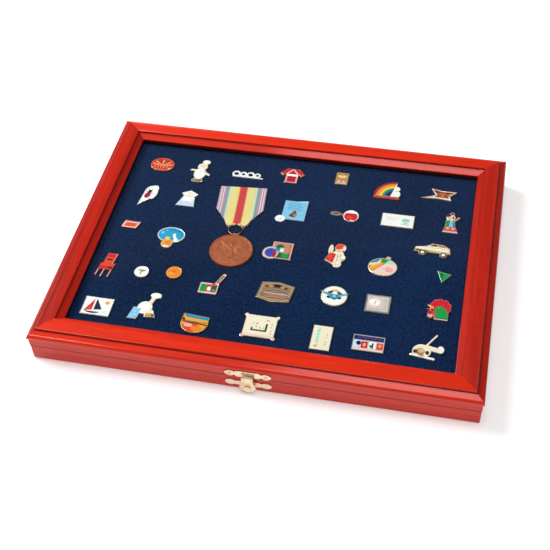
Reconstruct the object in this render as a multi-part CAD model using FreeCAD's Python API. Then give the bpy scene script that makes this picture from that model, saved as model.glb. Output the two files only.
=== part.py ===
"""Hinged, glass-topped wooden display case holding lapel pins and one ribboned medal.

Millimetres, +Z up, +X to the right as the clasp side is faced, the clasp on -Y, the hinges on +Y.
The origin is the centre of the case's footprint, on the surface it rests on.

Distances called "in" or "inset" are measured horizontally inwards from the lid's outermost edge.
"""
import FreeCAD, Part
import math
import os

Vector = FreeCAD.Vector

# ---------------------------------------------------------------- driving dimensions
case_width = 350.0
case_depth = 263.0

# base box
base_height = 15.0
base_inset = 1.2
base_wall = 10.0
base_edge_radius = 1.0
base_top_edge_radius = 0.4
panel_thickness = 3.0
panel_lift = 2.0
panel_groove_depth = 4.0
panel_side_clearance = 0.3
panel_face_clearance = 0.05

# lid moulding
lid_gap = 0.6
lid_side_inset = 0.9
lid_foot_inset = 10.7
nose_radius = 3.0
nose_height = 9.4
nose_end_angle = 106.0
quirk_inset = 6.0
quirk_height = 13.8
quirk_width = 0.3
quirk_depth = 0.4
bead_height = 15.6
bead_width = 0.9
bead_side_lean = 0.1
bead_side_height = 0.5
bead_round_inset = 0.3
bead_round_drop = 0.12
band_end_inset = 18.0
band_end_height = 16.2
band_crown = 0.25
step_height = 14.1
step_width = 0.4
step_fall = 0.1
sight_inset = 23.5
sight_height = 11.3
sight_slope_end = 0.5
sight_slope_rise = 0.25
sight_round_inset = 0.12
sight_edge_drop = 0.4
sight_lip_thickness = 0.9
rabbet_inset = 17.2
foot_height = 6.0

# glazing
glass_thickness = 2.0
glass_edge_clearance = 0.3
strip_width = 4.0
strip_edge_clearance = 0.2
brad_radius = 0.5
brad_length = 9.0
brad_hole_clearance = 0.02

# padded insert
pad_clearance = 0.5
board_thickness = 1.5
felt_thickness = 1.0
pad_to_lid_clearance = 0.4

# hinges
hinge_spread = 210.0
hinge_length = 30.0
hinge_reach = 9.5
hinge_axis_out = 1.2
leaf_thickness = 0.8
leaf_side_clearance = 0.1
knuckle_count = 5
knuckle_radius = 1.6
knuckle_end_gap = 0.15
knuckle_notch_clearance = 0.25
hinge_pin_radius = 0.75
hinge_running_clearance = 0.05
hinge_pin_fit = 0.02
hinge_pin_head_radius = 1.3
hinge_pin_head_height = 0.5
screw_spread = 18.0
screw_from_axis = 6.3
screw_length = 8.0
screw_radius = 0.7
screw_head_radius = 1.5
screw_clearance = 0.04
screw_slot_width = 0.35
screw_slot_depth = 0.3

# clasp
clasp_plate_thickness = 0.8
clasp_half_length = 18.2
clasp_waist_half_height = 2.5
clasp_leaf_half_height = 3.1
clasp_neck_half_height = 1.7
clasp_shoulder_x = 6.0
clasp_neck_x = 10.4
clasp_leaf_x = 14.3
clasp_neck_hollow = 0.1
catch_plate_height = 3.4
catch_plate_above_gap = 0.2
catch_slot_x = 3.6
catch_slot_size = 1.1
catch_slot_reach = 1.0
catch_slot_half_height = 0.33
catch_slot_rise = 1.2
catch_lip_width = 7.0
catch_lip_reach = 1.2
catch_lip_thickness = 0.8
catch_lip_above_gap = 0.6
base_plate_drop = 7.3
lever_thickness = 1.0
lever_half_width = 4.6
lever_wide_half_width = 6.6
lever_shoulder_drop = 4.0
lever_wide_drop = 7.6
lever_tip_drop = 13.8
lever_stand_off = 2.3
lever_hook_clearance = 0.4
lever_hook_bite = 0.7
lever_hook_thickness = 0.8
lever_flare = 0.9
lever_flare_drop = 0.4
lever_tip_waist = 0.52
lever_tip_waist_drop = 0.7
lever_boss_radius = 2.4
lever_boss_height = 0.9
lever_boss_drop = 8.2
pivot_drop = 5.8
pivot_out = 1.25
pivot_radius = 0.6
pivot_clearance = 0.05
pivot_head_height = 0.4
pivot_head_rim = 0.3
pivot_end_gap = 0.15
lug_thickness = 0.8
lug_x = 2.4
lug_radius = 1.0
ear_gap = 0.2
nail_radius = 0.6
nail_length = 5.0
nail_head_radius = 1.3
nail_head_height = 0.6
nail_clearance = 0.03
spring_wire = 0.3
spring_turns = 5
spring_pin_clearance = 0.07
spring_leg_length = 3.2
spring_leg_radius = 0.135
seated_overlap = 0.3

# corner V nails
v_nail_inset = 3.4
v_nail_leg = 4.0
v_nail_thickness = 0.4
v_nail_height = 6.0
v_nail_depth = 0.5
v_nail_clearance = 0.03

# exhibits: their rows are laid out on a case of this size, and spread or close up with the case
layout_width = 350.0
layout_depth = 263.0
pin_thickness = 1.5
pin_post_radius = 0.5
pin_post_length = 7.0
pin_post_clearance = 0.05
medal_radius = 18.0
medal_thickness = 2.3
medal_rim_width = 1.0
medal_rim_depth = 0.3
medal_across = -42.9
medal_along = -11.4
medal_turn = 4.7
medal_ring_radius = 6.0
medal_ring_wire = 0.6
medal_eye_radius = 1.2
medal_eye_clearance = 0.15
medal_eye_half_width = 0.8
medal_eye_out = 0.72
medal_neck_bite = 1.0
ribbon_width = 41.0
ribbon_waist_width = 13.0
ribbon_thickness = 0.8
ribbon_straight_length = 26.8
ribbon_taper_length = 20.0
ribbon_loop_length = 3.2
ribbon_loop_below_ring = 1.6
ribbon_fold_margin = 0.6
ribbon_loop_clearance = 0.1
brooch_length = 36.0
brooch_width = 3.2
brooch_thickness = 0.8
brooch_clearance = 0.1
brooch_prong_spread = 26.0

# ---------------------------------------------------------------- derived levels and edges
half_width = case_width / 2
half_depth = case_depth / 2
lid_bottom = base_height + lid_gap
shelf_level = lid_bottom + foot_height
ledge_level = lid_bottom + sight_height - sight_lip_thickness
case_top = lid_bottom + band_end_height
glass_bottom = ledge_level - glass_thickness
panel_bottom = panel_lift
panel_top = panel_lift + panel_thickness
base_inner_inset = base_inset + base_wall
pad_inset = base_inner_inset + pad_clearance
pad_top = shelf_level - pad_to_lid_clearance
foam_bottom = panel_top + board_thickness
foam_top = pad_top - felt_thickness
strip_inset = rabbet_inset + strip_edge_clearance
hinge_y = half_depth + hinge_axis_out
hinge_z = base_height + lid_gap / 2
base_face_y = -half_depth + base_inset
lid_face_y = -half_depth + lid_side_inset
over = 1.0

# clasp
catch_middle_z = lid_bottom + catch_plate_above_gap + catch_plate_height
catch_front_y = lid_face_y - clasp_plate_thickness
base_plate_z = base_height - base_plate_drop
base_front_y = base_face_y - clasp_plate_thickness
pivot_z = base_height - pivot_drop
pivot_y = base_front_y - pivot_out
lever_back_y = base_front_y - lever_stand_off
lever_front_y = lever_back_y - lever_thickness
lip_low = lid_bottom + catch_lip_above_gap
lip_top = lip_low + catch_lip_thickness
lip_y = catch_front_y - catch_lip_reach
hook_low = lip_top + lever_hook_clearance
lever_top = hook_low + lever_hook_thickness

# medal
spread_x = case_width / layout_width
spread_y = case_depth / layout_depth
medal_x = medal_across * spread_x
medal_y = medal_along * spread_y
medal_eye_y = medal_y + medal_radius + medal_eye_out
medal_eye_z = pad_top + medal_eye_radius
medal_ring_y = medal_eye_y + medal_ring_radius
ribbon_low = medal_ring_y + medal_ring_radius - ribbon_loop_below_ring
ribbon_waist = ribbon_low + ribbon_taper_length
ribbon_top = ribbon_waist + ribbon_straight_length * spread_y
brooch_y = ribbon_top - ribbon_fold_margin - brooch_width / 2
brooch_z = pad_top + ribbon_thickness / 2


# ---------------------------------------------------------------- small shape helpers
def block(x0, x1, y0, y1, z0, z1):
    """Axis-aligned box between two corners."""
    return Part.makeBox(x1 - x0, y1 - y0, z1 - z0, Vector(x0, y0, z0))


def rod(radius, start, end):
    """Round rod from one point to another."""
    along = end - start
    return Part.makeCylinder(radius, along.Length, start, along)


def fused(shapes):
    """One solid from shapes that overlap."""
    whole = shapes[0]
    if len(shapes) > 1:
        whole = shapes[0].multiFuse(shapes[1:])
    return whole.removeSplitter()


def cut_all(shape, tools):
    """Shape with every tool's volume taken away."""
    return shape.cut(Part.makeCompound(tools)) if tools else shape


def outline(start, steps):
    """Closed wire from a start point; a step is an end point, or a (way point, end point) arc."""
    edges = []
    here = start
    last = steps[-1][1] if isinstance(steps[-1], tuple) else steps[-1]
    closing = [] if last.isEqual(start, 1e-7) else [start]
    for step in steps + closing:
        if isinstance(step, tuple):
            way, there = step
            edges.append(Part.Arc(here, way, there).toShape())
        else:
            there = step
            edges.append(Part.LineSegment(here, there).toShape())
        here = there
    return Part.Wire(edges)


def slab(wire, direction):
    """Solid from a flat closed wire, pushed along a direction."""
    return Part.Face(wire).extrude(direction)


def turned(shape, quarter_turns):
    """Copy turned about the vertical axis through the origin."""
    copy = shape.copy()
    copy.rotate(Vector(0, 0, 0), Vector(0, 0, 1), 90 * quarter_turns)
    return copy


# ---------------------------------------------------------------- mitred frames
def mitre_prism(length, offset, reach, low, high):
    """Plan trapezium of one mitred side, from its outer line inwards, on the -Y side."""
    outer = length / 2
    inner = outer - reach
    corners = [
        Vector(outer, -offset, low),
        Vector(inner, -offset + reach, low),
        Vector(-inner, -offset + reach, low),
    ]
    return slab(outline(Vector(-outer, -offset, low), corners), Vector(0, 0, high - low))


def mitred_side(section, length, offset, reach, quarter_turns):
    """Side of a mitred frame: a section in the YZ plane at x = 0, run along X and cut at 45 degrees."""
    bar = Part.Face(section).extrude(Vector(length, 0, 0))
    bar.translate(Vector(-length / 2, 0, 0))
    ends = mitre_prism(length, offset, reach, -over, case_top + over)
    return turned(bar.common(ends), quarter_turns)


def mitred_frame(section_at, reach):
    """Front, right, back and left sides; section_at(offset) gives the section for a side's outer line."""
    sides = {}
    lengths = (case_width, case_depth, case_width, case_depth)
    offsets = (half_depth, half_width, half_depth, half_width)
    for turn, name in enumerate(("front", "right", "back", "left")):
        section = section_at(offsets[turn])
        sides[name] = mitred_side(section, lengths[turn], offsets[turn], reach, turn)
    return sides


def base_section(offset):
    """Section of a base rail: eased outer edges and a groove for the bottom panel."""
    def at(inset, height):
        return Vector(0, -offset + inset, height)

    ease = base_edge_radius
    top_ease = base_top_edge_radius
    diagonal = 1 - math.sqrt(0.5)
    groove = base_inner_inset - panel_groove_depth
    groove_low = panel_bottom - panel_face_clearance
    groove_high = panel_top + panel_face_clearance
    return outline(at(base_inset + ease, 0), [
        at(base_inner_inset, 0),
        at(base_inner_inset, groove_low),
        at(groove, groove_low),
        at(groove, groove_high),
        at(base_inner_inset, groove_high),
        at(base_inner_inset, base_height),
        at(base_inset + top_ease, base_height),
        (at(base_inset + top_ease * diagonal, base_height - top_ease * diagonal),
         at(base_inset, base_height - top_ease)),
        at(base_inset, ease),
        (at(base_inset + ease * diagonal, ease * diagonal), at(base_inset + ease, 0)),
    ])


def lid_section(offset):
    """Section of the lid moulding: rounded nose, bead, crowned band, step and sloped sight lip."""
    def at(inset, height):
        return Vector(0, -offset + inset, lid_bottom + height)

    def on_nose(angle):
        turn = math.radians(angle)
        return at(nose_radius - nose_radius * math.cos(turn), nose_height + nose_radius * math.sin(turn))

    # the nose starts where its circle leaves the flat outer face
    start_angle = -math.degrees(math.acos((nose_radius - lid_side_inset) / nose_radius))
    end_angle = 180 - nose_end_angle
    bead_end = quirk_inset + bead_width
    band_middle = (bead_end + band_end_inset) / 2
    band_middle_height = (bead_height + band_end_height) / 2 + band_crown
    ledge = ledge_level - lid_bottom
    return outline(at(lid_side_inset, 0), [
        on_nose(start_angle),
        (on_nose((start_angle + end_angle) / 2), on_nose(end_angle)),
        at(quirk_inset - quirk_width, quirk_height),
        at(quirk_inset, quirk_height - quirk_depth),
        at(quirk_inset + bead_side_lean, bead_height - bead_side_height),
        (at(quirk_inset + bead_round_inset, bead_height - bead_round_drop), at(bead_end, bead_height)),
        (at(band_middle, band_middle_height), at(band_end_inset, band_end_height)),
        at(band_end_inset + step_width / 2, step_height),
        at(band_end_inset + step_width, step_height - step_fall),
        at(sight_inset - sight_slope_end, sight_height + sight_slope_rise),
        (at(sight_inset - sight_round_inset, sight_height), at(sight_inset, sight_height - sight_edge_drop)),
        at(sight_inset, ledge),
        at(rabbet_inset, ledge),
        at(rabbet_inset, foot_height),
        at(lid_foot_inset, foot_height),
        at(lid_foot_inset, 0),
    ])


def inset_plate(inset, z0, z1):
    """Rectangular plate whose edges all lie the same distance in."""
    return block(inset - half_width, half_width - inset, inset - half_depth, half_depth - inset, z0, z1)


def glazing_strips():
    """Four mitred strips that hold the glass up against the lid's ledge."""
    strips = []
    for turn in range(4):
        half = (half_depth, half_width)[turn % 2] - strip_inset
        length = (case_width, case_depth)[turn % 2] - 2 * strip_inset
        strips.append(turned(mitre_prism(length, half, strip_width, shelf_level, glass_bottom), turn))
    return strips


def brads(radius):
    """Small nails driven outwards through the glazing strips into the lid rails."""
    level = (shelf_level + glass_bottom) / 2
    pieces = []
    for turn, spots in enumerate(((-110, 0, 110), (-70, 70)) * 2):
        offset = (half_depth, half_width)[turn % 2]
        inner = strip_inset + strip_width
        for spot in spots:
            start = Vector(spot, -offset + inner, level)
            end = Vector(spot, -offset + inner - brad_length, level)
            pieces.append(turned(rod(radius, start, end), turn))
    return pieces


def v_nails(foot_level, clearance):
    """Angle-shaped corner nails driven upwards across the four mitres."""
    low = foot_level + v_nail_depth
    if clearance:
        low = foot_level - over
    high = foot_level + v_nail_depth + v_nail_height + clearance
    near = v_nail_inset - clearance
    far = v_nail_inset + v_nail_thickness + clearance
    end = v_nail_inset + v_nail_leg + clearance
    pieces = []
    for side_x in (-1, 1):
        for side_y in (-1, 1):
            def at(inset_x, inset_y):
                return Vector(side_x * (half_width - inset_x), side_y * (half_depth - inset_y), low)

            corners = [at(end, near), at(end, far), at(far, far), at(far, end), at(near, end)]
            pieces.append(slab(outline(at(near, near), corners), Vector(0, 0, high - low)))
    return pieces


# ---------------------------------------------------------------- hinges
def knuckles(side_x, which):
    """Barrel stretches of one leaf: which is 0 for the base leaf's and 1 for the lid leaf's."""
    stretch = hinge_length / knuckle_count
    start_x = side_x - hinge_length / 2
    return [start_x + i * stretch for i in range(knuckle_count) if i % 2 == which]


def barrel(start_x, length, radius):
    """Round stretch on the hinge axis."""
    return rod(radius, Vector(start_x, hinge_y, hinge_z), Vector(start_x + length, hinge_y, hinge_z))


def screw_spots(side_x, z):
    """Places of one leaf's two screws, on the level of its outer face."""
    y = hinge_y - screw_from_axis
    return [Vector(side_x + s * screw_spread / 2, y, z) for s in (-1, 1)]


def countersunk(spot, up, clearance):
    """Countersunk screw body with its head flush at a spot; up is the way its point looks."""
    head = Part.makeCone(
        screw_head_radius + clearance, screw_radius + clearance, leaf_thickness, spot, Vector(0, 0, up))
    shank = rod(screw_radius + clearance, spot, spot + Vector(0, 0, up * screw_length))
    return fused([head, shank])


def slotted_screw(spot, up):
    """Countersunk screw with a driver slot."""
    depth = up * screw_slot_depth
    slot_z = sorted((spot.z - up * over, spot.z + depth))
    half = screw_head_radius + over
    slot = block(spot.x - half, spot.x + half, spot.y - screw_slot_width / 2,
                 spot.y + screw_slot_width / 2, slot_z[0], slot_z[1])
    return countersunk(spot, up, 0).cut(slot)


def hinge_leaf(side_x, which):
    """Leaf with its knuckles: which is 0 for the leaf let into the base, 1 for the lid's."""
    low = (base_height - leaf_thickness, lid_bottom)[which]
    face = (base_height, lid_bottom)[which]
    up = (-1, 1)[which]
    stretch = hinge_length / knuckle_count
    plate = block(side_x - hinge_length / 2, side_x + hinge_length / 2, hinge_y - hinge_reach, hinge_y,
                  low, low + leaf_thickness)
    notches = [barrel(x - knuckle_end_gap, stretch + 2 * knuckle_end_gap,
                      knuckle_radius + knuckle_notch_clearance) for x in knuckles(side_x, 1 - which)]
    barrels = [barrel(x + knuckle_end_gap / 2, stretch - knuckle_end_gap, knuckle_radius)
               for x in knuckles(side_x, which)]
    # the tips of the plate that reach over the pin stay clear of the other leaf's barrels
    leaf = fused([cut_all(plate, notches)] + barrels)
    bore_clearance = (hinge_pin_fit, hinge_running_clearance)[which]
    bore = barrel(side_x - hinge_length, 2 * hinge_length, hinge_pin_radius + bore_clearance)
    screws = [countersunk(spot, up, screw_clearance) for spot in screw_spots(side_x, face)]
    return cut_all(leaf, [bore] + screws)


def hinge_pin(side_x):
    """Pin through all the knuckles, with a low head at each end."""
    half = hinge_length / 2
    length = hinge_length + 2 * knuckle_end_gap
    shaft = barrel(side_x - half - knuckle_end_gap, length, hinge_pin_radius)
    heads = [barrel(side_x - half - knuckle_end_gap - hinge_pin_head_height, hinge_pin_head_height,
                    hinge_pin_head_radius),
             barrel(side_x + half + knuckle_end_gap, hinge_pin_head_height, hinge_pin_head_radius)]
    return fused([shaft] + heads)


def hinge_mortise(side_x, which):
    """Recess that lets a leaf lie flush in its rail."""
    low = (base_height - leaf_thickness, lid_bottom - over)[which]
    high = (base_height + over, lid_bottom + leaf_thickness)[which]
    half = hinge_length / 2 + leaf_side_clearance
    return block(side_x - half, side_x + half, hinge_y - hinge_reach - leaf_side_clearance,
                 hinge_y + over, low, high)


def hinges():
    """Every hinge piece, and what is cut from the base and lid rails for them."""
    centres = (-hinge_spread / 2, hinge_spread / 2)
    faces = (base_height, lid_bottom)
    pieces = {"pins": [hinge_pin(x) for x in centres]}
    cuts = {}
    for which, name in enumerate(("base", "lid")):
        up = (-1, 1)[which]
        spots = [spot for x in centres for spot in screw_spots(x, faces[which])]
        pieces[name + "_leaves"] = [hinge_leaf(x, which) for x in centres]
        pieces[name + "_screws"] = [slotted_screw(spot, up) for spot in spots]
        cuts[name] = [hinge_mortise(x, which) for x in centres]
        cuts[name] += [countersunk(spot, up, screw_clearance) for spot in spots]
    return pieces, cuts


# ---------------------------------------------------------------- clasp
def leafed_plate(face_y, middle_z, waist_half_height):
    """Pressed plate on a front face: a plain waist between two pointed leaves."""
    def at(x, height):
        return Vector(x, face_y, middle_z + height)

    neck_bulge_x = (clasp_shoulder_x + clasp_neck_x) / 2
    neck_bulge = waist_half_height - clasp_neck_hollow
    half = slab(outline(at(0, waist_half_height), [
        at(clasp_shoulder_x, waist_half_height),
        (at(neck_bulge_x, neck_bulge), at(clasp_neck_x, clasp_neck_half_height)),
        (at(clasp_leaf_x, clasp_leaf_half_height), at(clasp_half_length, 0)),
        (at(clasp_leaf_x, -clasp_leaf_half_height), at(clasp_neck_x, -clasp_neck_half_height)),
        (at(neck_bulge_x, -neck_bulge), at(clasp_shoulder_x, -waist_half_height)),
        at(0, -waist_half_height),
    ]), Vector(0, -clasp_plate_thickness, 0))
    return fused([half, half.mirror(Vector(0, 0, 0), Vector(1, 0, 0))])


def nail_spots(face_y, middle_z):
    """Places of a plate's two nails, on the wood's face."""
    return [Vector(s * clasp_leaf_x, face_y, middle_z) for s in (-1, 1)]


def nail(spot):
    """Round-headed nail through a plate into the wood."""
    seat = spot.y - clasp_plate_thickness
    shank = rod(nail_radius, Vector(spot.x, seat, spot.z), Vector(spot.x, spot.y + nail_length, spot.z))
    ball_radius = (nail_head_radius ** 2 + nail_head_height ** 2) / (2 * nail_head_height)
    ball = Part.makeSphere(ball_radius, Vector(spot.x, seat - nail_head_height + ball_radius, spot.z))
    keep = rod(nail_head_radius + over, Vector(spot.x, seat - over, spot.z), Vector(spot.x, seat, spot.z))
    return fused([shank, ball.common(keep)])


def nail_hole(spot):
    """Clearance hole for a nail, through the plate and into the wood."""
    start = Vector(spot.x, spot.y - clasp_plate_thickness - over, spot.z)
    end = Vector(spot.x, spot.y + nail_length + nail_clearance, spot.z)
    return rod(nail_radius + nail_clearance, start, end)


def catch_plate():
    """Plate on the lid, pierced over its middle, with the lip that the lever hooks over."""
    plate = leafed_plate(lid_face_y, catch_middle_z, catch_plate_height)
    lip = block(-catch_lip_width / 2, catch_lip_width / 2, lip_y, catch_front_y + seated_overlap,
                lip_low, lip_top)
    z = catch_middle_z + catch_slot_rise
    back = lid_face_y + over
    front = catch_front_y - over
    slots = []
    for x in (-catch_slot_x, 0, catch_slot_x):
        slots.append(rod(catch_slot_size / 2, Vector(x, back, z), Vector(x, front, z)))
        slots.append(block(x - catch_slot_reach, x + catch_slot_reach, front, back,
                           z - catch_slot_half_height, z + catch_slot_half_height))
    holes = [nail_hole(spot) for spot in nail_spots(lid_face_y, catch_middle_z)]
    return cut_all(fused([plate, lip]), slots + holes)


def clasp_base_plate():
    """Plate on the base with the two lugs that carry the lever's pivot pin."""
    plate = leafed_plate(base_face_y, base_plate_z, clasp_waist_half_height)
    lugs = []
    for side in (-1, 1):
        inner = side * lug_x
        outer = side * (lug_x + lug_thickness)
        x0, x1 = sorted((inner, outer))
        lugs.append(block(x0, x1, pivot_y, base_front_y + seated_overlap,
                          pivot_z - lug_radius, pivot_z + lug_radius))
        lugs.append(rod(lug_radius, Vector(x0, pivot_y, pivot_z), Vector(x1, pivot_y, pivot_z)))
    bore = rod(pivot_radius + hinge_pin_fit, Vector(-over - lug_x * 2, pivot_y, pivot_z),
               Vector(over + lug_x * 2, pivot_y, pivot_z))
    holes = [nail_hole(spot) for spot in nail_spots(base_face_y, base_plate_z)]
    return cut_all(fused([plate] + lugs), [bore] + holes)


def clasp_lever():
    """Sprung lever: a hook over the catch lip, two ears on the pivot pin and a pointed thumb tab."""
    def at(x, drop):
        return Vector(x, lever_back_y, base_height - drop)

    top = base_height - lever_top
    flare = lever_half_width + lever_flare
    flare_drop = (lever_shoulder_drop + lever_wide_drop) / 2 + lever_flare_drop
    waist = lever_wide_half_width * lever_tip_waist
    waist_drop = (lever_wide_drop + lever_tip_drop) / 2 + lever_tip_waist_drop
    tab = outline(at(-lever_half_width, top), [
        at(lever_half_width, top),
        at(lever_half_width, lever_shoulder_drop),
        (at(flare, flare_drop), at(lever_wide_half_width, lever_wide_drop)),
        (at(waist, waist_drop), at(0, lever_tip_drop)),
        (at(-waist, waist_drop), at(-lever_wide_half_width, lever_wide_drop)),
        (at(-flare, flare_drop), at(-lever_half_width, lever_shoulder_drop)),
    ])
    body = slab(tab, Vector(0, -lever_thickness, 0))
    bite = lever_back_y - seated_overlap
    hook = block(-catch_lip_width / 2, catch_lip_width / 2, bite, lip_y + lever_hook_bite,
                 hook_low, lever_top)
    boss_z = base_height - lever_boss_drop
    boss = rod(lever_boss_radius, Vector(0, bite, boss_z),
               Vector(0, lever_front_y - lever_boss_height, boss_z))
    ears = []
    for side in (-1, 1):
        inner = side * (lug_x + lug_thickness + ear_gap)
        x0, x1 = sorted((inner, inner + side * lug_thickness))
        ears.append(block(x0, x1, bite, pivot_y, pivot_z - lug_radius, pivot_z + lug_radius))
        ears.append(rod(lug_radius, Vector(x0, pivot_y, pivot_z), Vector(x1, pivot_y, pivot_z)))
    bore = rod(pivot_radius + pivot_clearance, Vector(-3 * lug_x, pivot_y, pivot_z),
               Vector(3 * lug_x, pivot_y, pivot_z))
    return cut_all(fused([body, hook, boss] + ears), [bore])


def pivot_pin():
    """Pin through the lugs and the lever's ears, with a low head at each end."""
    half = lug_x + 2 * lug_thickness + ear_gap + pivot_end_gap
    shaft = rod(pivot_radius, Vector(-half, pivot_y, pivot_z), Vector(half, pivot_y, pivot_z))
    heads = []
    for side in (-1, 1):
        start = Vector(side * half, pivot_y, pivot_z)
        end = start + Vector(side * pivot_head_height, 0, 0)
        heads.append(rod(pivot_radius + pivot_head_rim, start, end))
    return fused([shaft] + heads)


def lever_spring():
    """Torsion spring wound close round the pivot pin, one leg on the plate and one on the lever."""
    inner = pivot_radius + spring_pin_clearance
    middle = inner + spring_wire / 2
    width = spring_wire * spring_turns

    def at(x, radius):
        return Vector(x - width / 2, pivot_y - radius, pivot_z)

    # the coil's section: flat inside, one round bump for each turn outside
    bumps = [(at((i + 0.5) * spring_wire, middle + spring_wire / 2), at((i + 1) * spring_wire, middle))
             for i in range(spring_turns)]
    section = outline(at(0, inner), [at(0, middle)] + bumps + [at(width, inner)])
    coil = Part.Face(section).revolve(Vector(0, pivot_y, pivot_z), Vector(1, 0, 0), 360)
    legs = []
    for side in (-1, 1):
        start = Vector(side * (width - spring_wire) / 2, pivot_y - side * middle, pivot_z)
        legs.append(rod(spring_leg_radius, start, start - Vector(0, 0, spring_leg_length)))
    return fused([coil] + legs)


# ---------------------------------------------------------------- medal
def as_pinned(shapes):
    """Shapes of the medal turned a little about the middle of its ring, the way it is pinned."""
    return [shape.rotate(Vector(medal_x, medal_ring_y, 0), Vector(0, 0, 1), medal_turn) for shape in shapes]


def medal_disc():
    """Struck disc with a raised rim and the eye that hangs it from its ring."""
    disc = Part.makeCylinder(medal_radius, medal_thickness, Vector(medal_x, medal_y, pad_top))
    field = Part.makeCylinder(medal_radius - medal_rim_width, over,
                              Vector(medal_x, medal_y, pad_top + medal_thickness - medal_rim_depth))
    left = medal_x - medal_eye_half_width
    right = medal_x + medal_eye_half_width
    eye = rod(medal_eye_radius, Vector(left, medal_eye_y, medal_eye_z),
              Vector(right, medal_eye_y, medal_eye_z))
    neck = block(left, right, medal_y + medal_radius - medal_neck_bite, medal_eye_y, pad_top,
                 pad_top + 2 * medal_eye_radius)
    return cut_all(fused([disc.cut(field), neck, eye]), [medal_ring(medal_ring_wire + medal_eye_clearance)])


def medal_ring(wire_radius):
    """Suspension ring lying flat between the disc's eye and the ribbon's loop."""
    return Part.makeTorus(medal_ring_radius, wire_radius, Vector(medal_x, medal_ring_y, medal_eye_z))


def brooch_bar(clearance):
    """Flat bar inside the ribbon's top fold."""
    half_length = brooch_length / 2 + clearance
    half = brooch_width / 2 + clearance
    return block(medal_x - half_length, medal_x + half_length, brooch_y - half, brooch_y + half,
                 brooch_z - clearance, brooch_z + brooch_thickness + clearance)


def brooch_prongs(radius, top_z):
    """Two prongs under the brooch bar, down into the pad."""
    prongs = []
    for side in (-1, 1):
        x = medal_x + side * brooch_prong_spread / 2
        start = Vector(x, brooch_y, pad_top - pin_post_length)
        prongs.append(rod(radius, start, Vector(x, brooch_y, top_z)))
    return prongs


def medal_brooch():
    """Brooch bar with its prongs."""
    return fused([brooch_bar(0)] + brooch_prongs(pin_post_radius, brooch_z + brooch_thickness / 2))


def medal_ribbon():
    """Doubled ribbon: straight at the top, folded in to a loop round the ring at the bottom."""
    def at(x, y):
        return Vector(medal_x + x, y, pad_top)

    wide = ribbon_width / 2
    narrow = ribbon_waist_width / 2
    plan = outline(at(-narrow, ribbon_low), [
        at(narrow, ribbon_low),
        at(wide, ribbon_waist),
        at(wide, ribbon_top),
        at(-wide, ribbon_top),
        at(-wide, ribbon_waist),
    ])
    sheet = slab(plan, Vector(0, 0, ribbon_thickness))
    loop_top = pad_top + 2 * medal_ring_wire + ribbon_thickness
    loop = block(medal_x - narrow, medal_x + narrow, ribbon_low, ribbon_low + ribbon_loop_length,
                 pad_top, loop_top)
    fold_top = pad_top + ribbon_thickness + brooch_thickness
    fold_low = ribbon_top - brooch_width - 2 * ribbon_fold_margin
    fold = block(medal_x - wide, medal_x + wide, fold_low, ribbon_top, pad_top, fold_top)
    ring_way = medal_ring(medal_ring_wire + ribbon_loop_clearance)
    prong_way = brooch_prongs(pin_post_radius + pin_post_clearance, pad_top + ribbon_thickness)
    return cut_all(fused([sheet, loop, fold]), [ring_way, brooch_bar(brooch_clearance)] + prong_way)


# ---------------------------------------------------------------- lapel pins
def oval(x, y, half_long, half_high):
    """Oval part of a pin's plate, in the pin's own plan."""
    if abs(half_long - half_high) < 1e-6:
        return Part.makeCylinder(half_long, pin_thickness, Vector(x, y, 0))
    long_axis = half_long > half_high
    major, minor = max(half_long, half_high), min(half_long, half_high)
    edge = Part.Ellipse(Vector(0, 0, 0), major, minor).toShape()
    if not long_axis:
        edge.rotate(Vector(0, 0, 0), Vector(0, 0, 1), 90)
    edge.translate(Vector(x, y, 0))
    return slab(Part.Wire(edge), Vector(0, 0, pin_thickness))


def poly(*points):
    """Straight-sided part of a pin's plate."""
    corners = [Vector(x, y, 0) for x, y in points]
    return slab(outline(corners[0], corners[1:]), Vector(0, 0, pin_thickness))


def oblong(x, y, width, height):
    """Rectangular part of a pin's plate."""
    return block(x - width / 2, x + width / 2, y - height / 2, y + height / 2, 0, pin_thickness)


def band(x0, y0, x1, y1, width):
    """Straight bar with round ends, as part of a pin's plate."""
    along = Vector(x1 - x0, y1 - y0, 0)
    side = Vector(-along.y, along.x, 0).normalize() * (width / 2)
    a, b = Vector(x0, y0, 0), Vector(x1, y1, 0)
    bar = slab(outline(a + side, [a - side, b - side, b + side]), Vector(0, 0, pin_thickness))
    return fused([bar, oval(x0, y0, width / 2, width / 2), oval(x1, y1, width / 2, width / 2)])


def lapel_pin(x, y, parts, post=(0, 0)):
    """One pin at its place in the layout: a flat plate on the felt, and its post down into the pad."""
    plate = fused(parts)
    stem = rod(pin_post_radius, Vector(post[0], post[1], -pin_post_length),
               Vector(post[0], post[1], pin_thickness / 2))
    pin = fused([plate, stem])
    centre = Vector(x * spread_x, y * spread_y, pad_top)
    pin.translate(centre)
    return pin, centre + Vector(post[0], post[1], 0)


def scallops(count, x0, x1, y, radius):
    """Row of round bumps along a straight line."""
    gap = (x1 - x0) / (count - 1)
    return [oval(x0 + i * gap, y, radius, radius) for i in range(count)]


def ring_chain():
    """Linked rings with a tail bar."""
    links = []
    holes = []
    for x, size in ((-10.4, 3.8), (-4.0, 3.3), (2.4, 3.8), (8.6, 3.1)):
        links.append(oval(x, 0, size, size))
        holes.append(Part.makeCylinder(size - 1.5, 3 * pin_thickness, Vector(x, 0.2, -pin_thickness)))
    return [fused(links + [oblong(0.3, -3.2, 27.6, 1.4)]).cut(Part.makeCompound(holes))]


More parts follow.
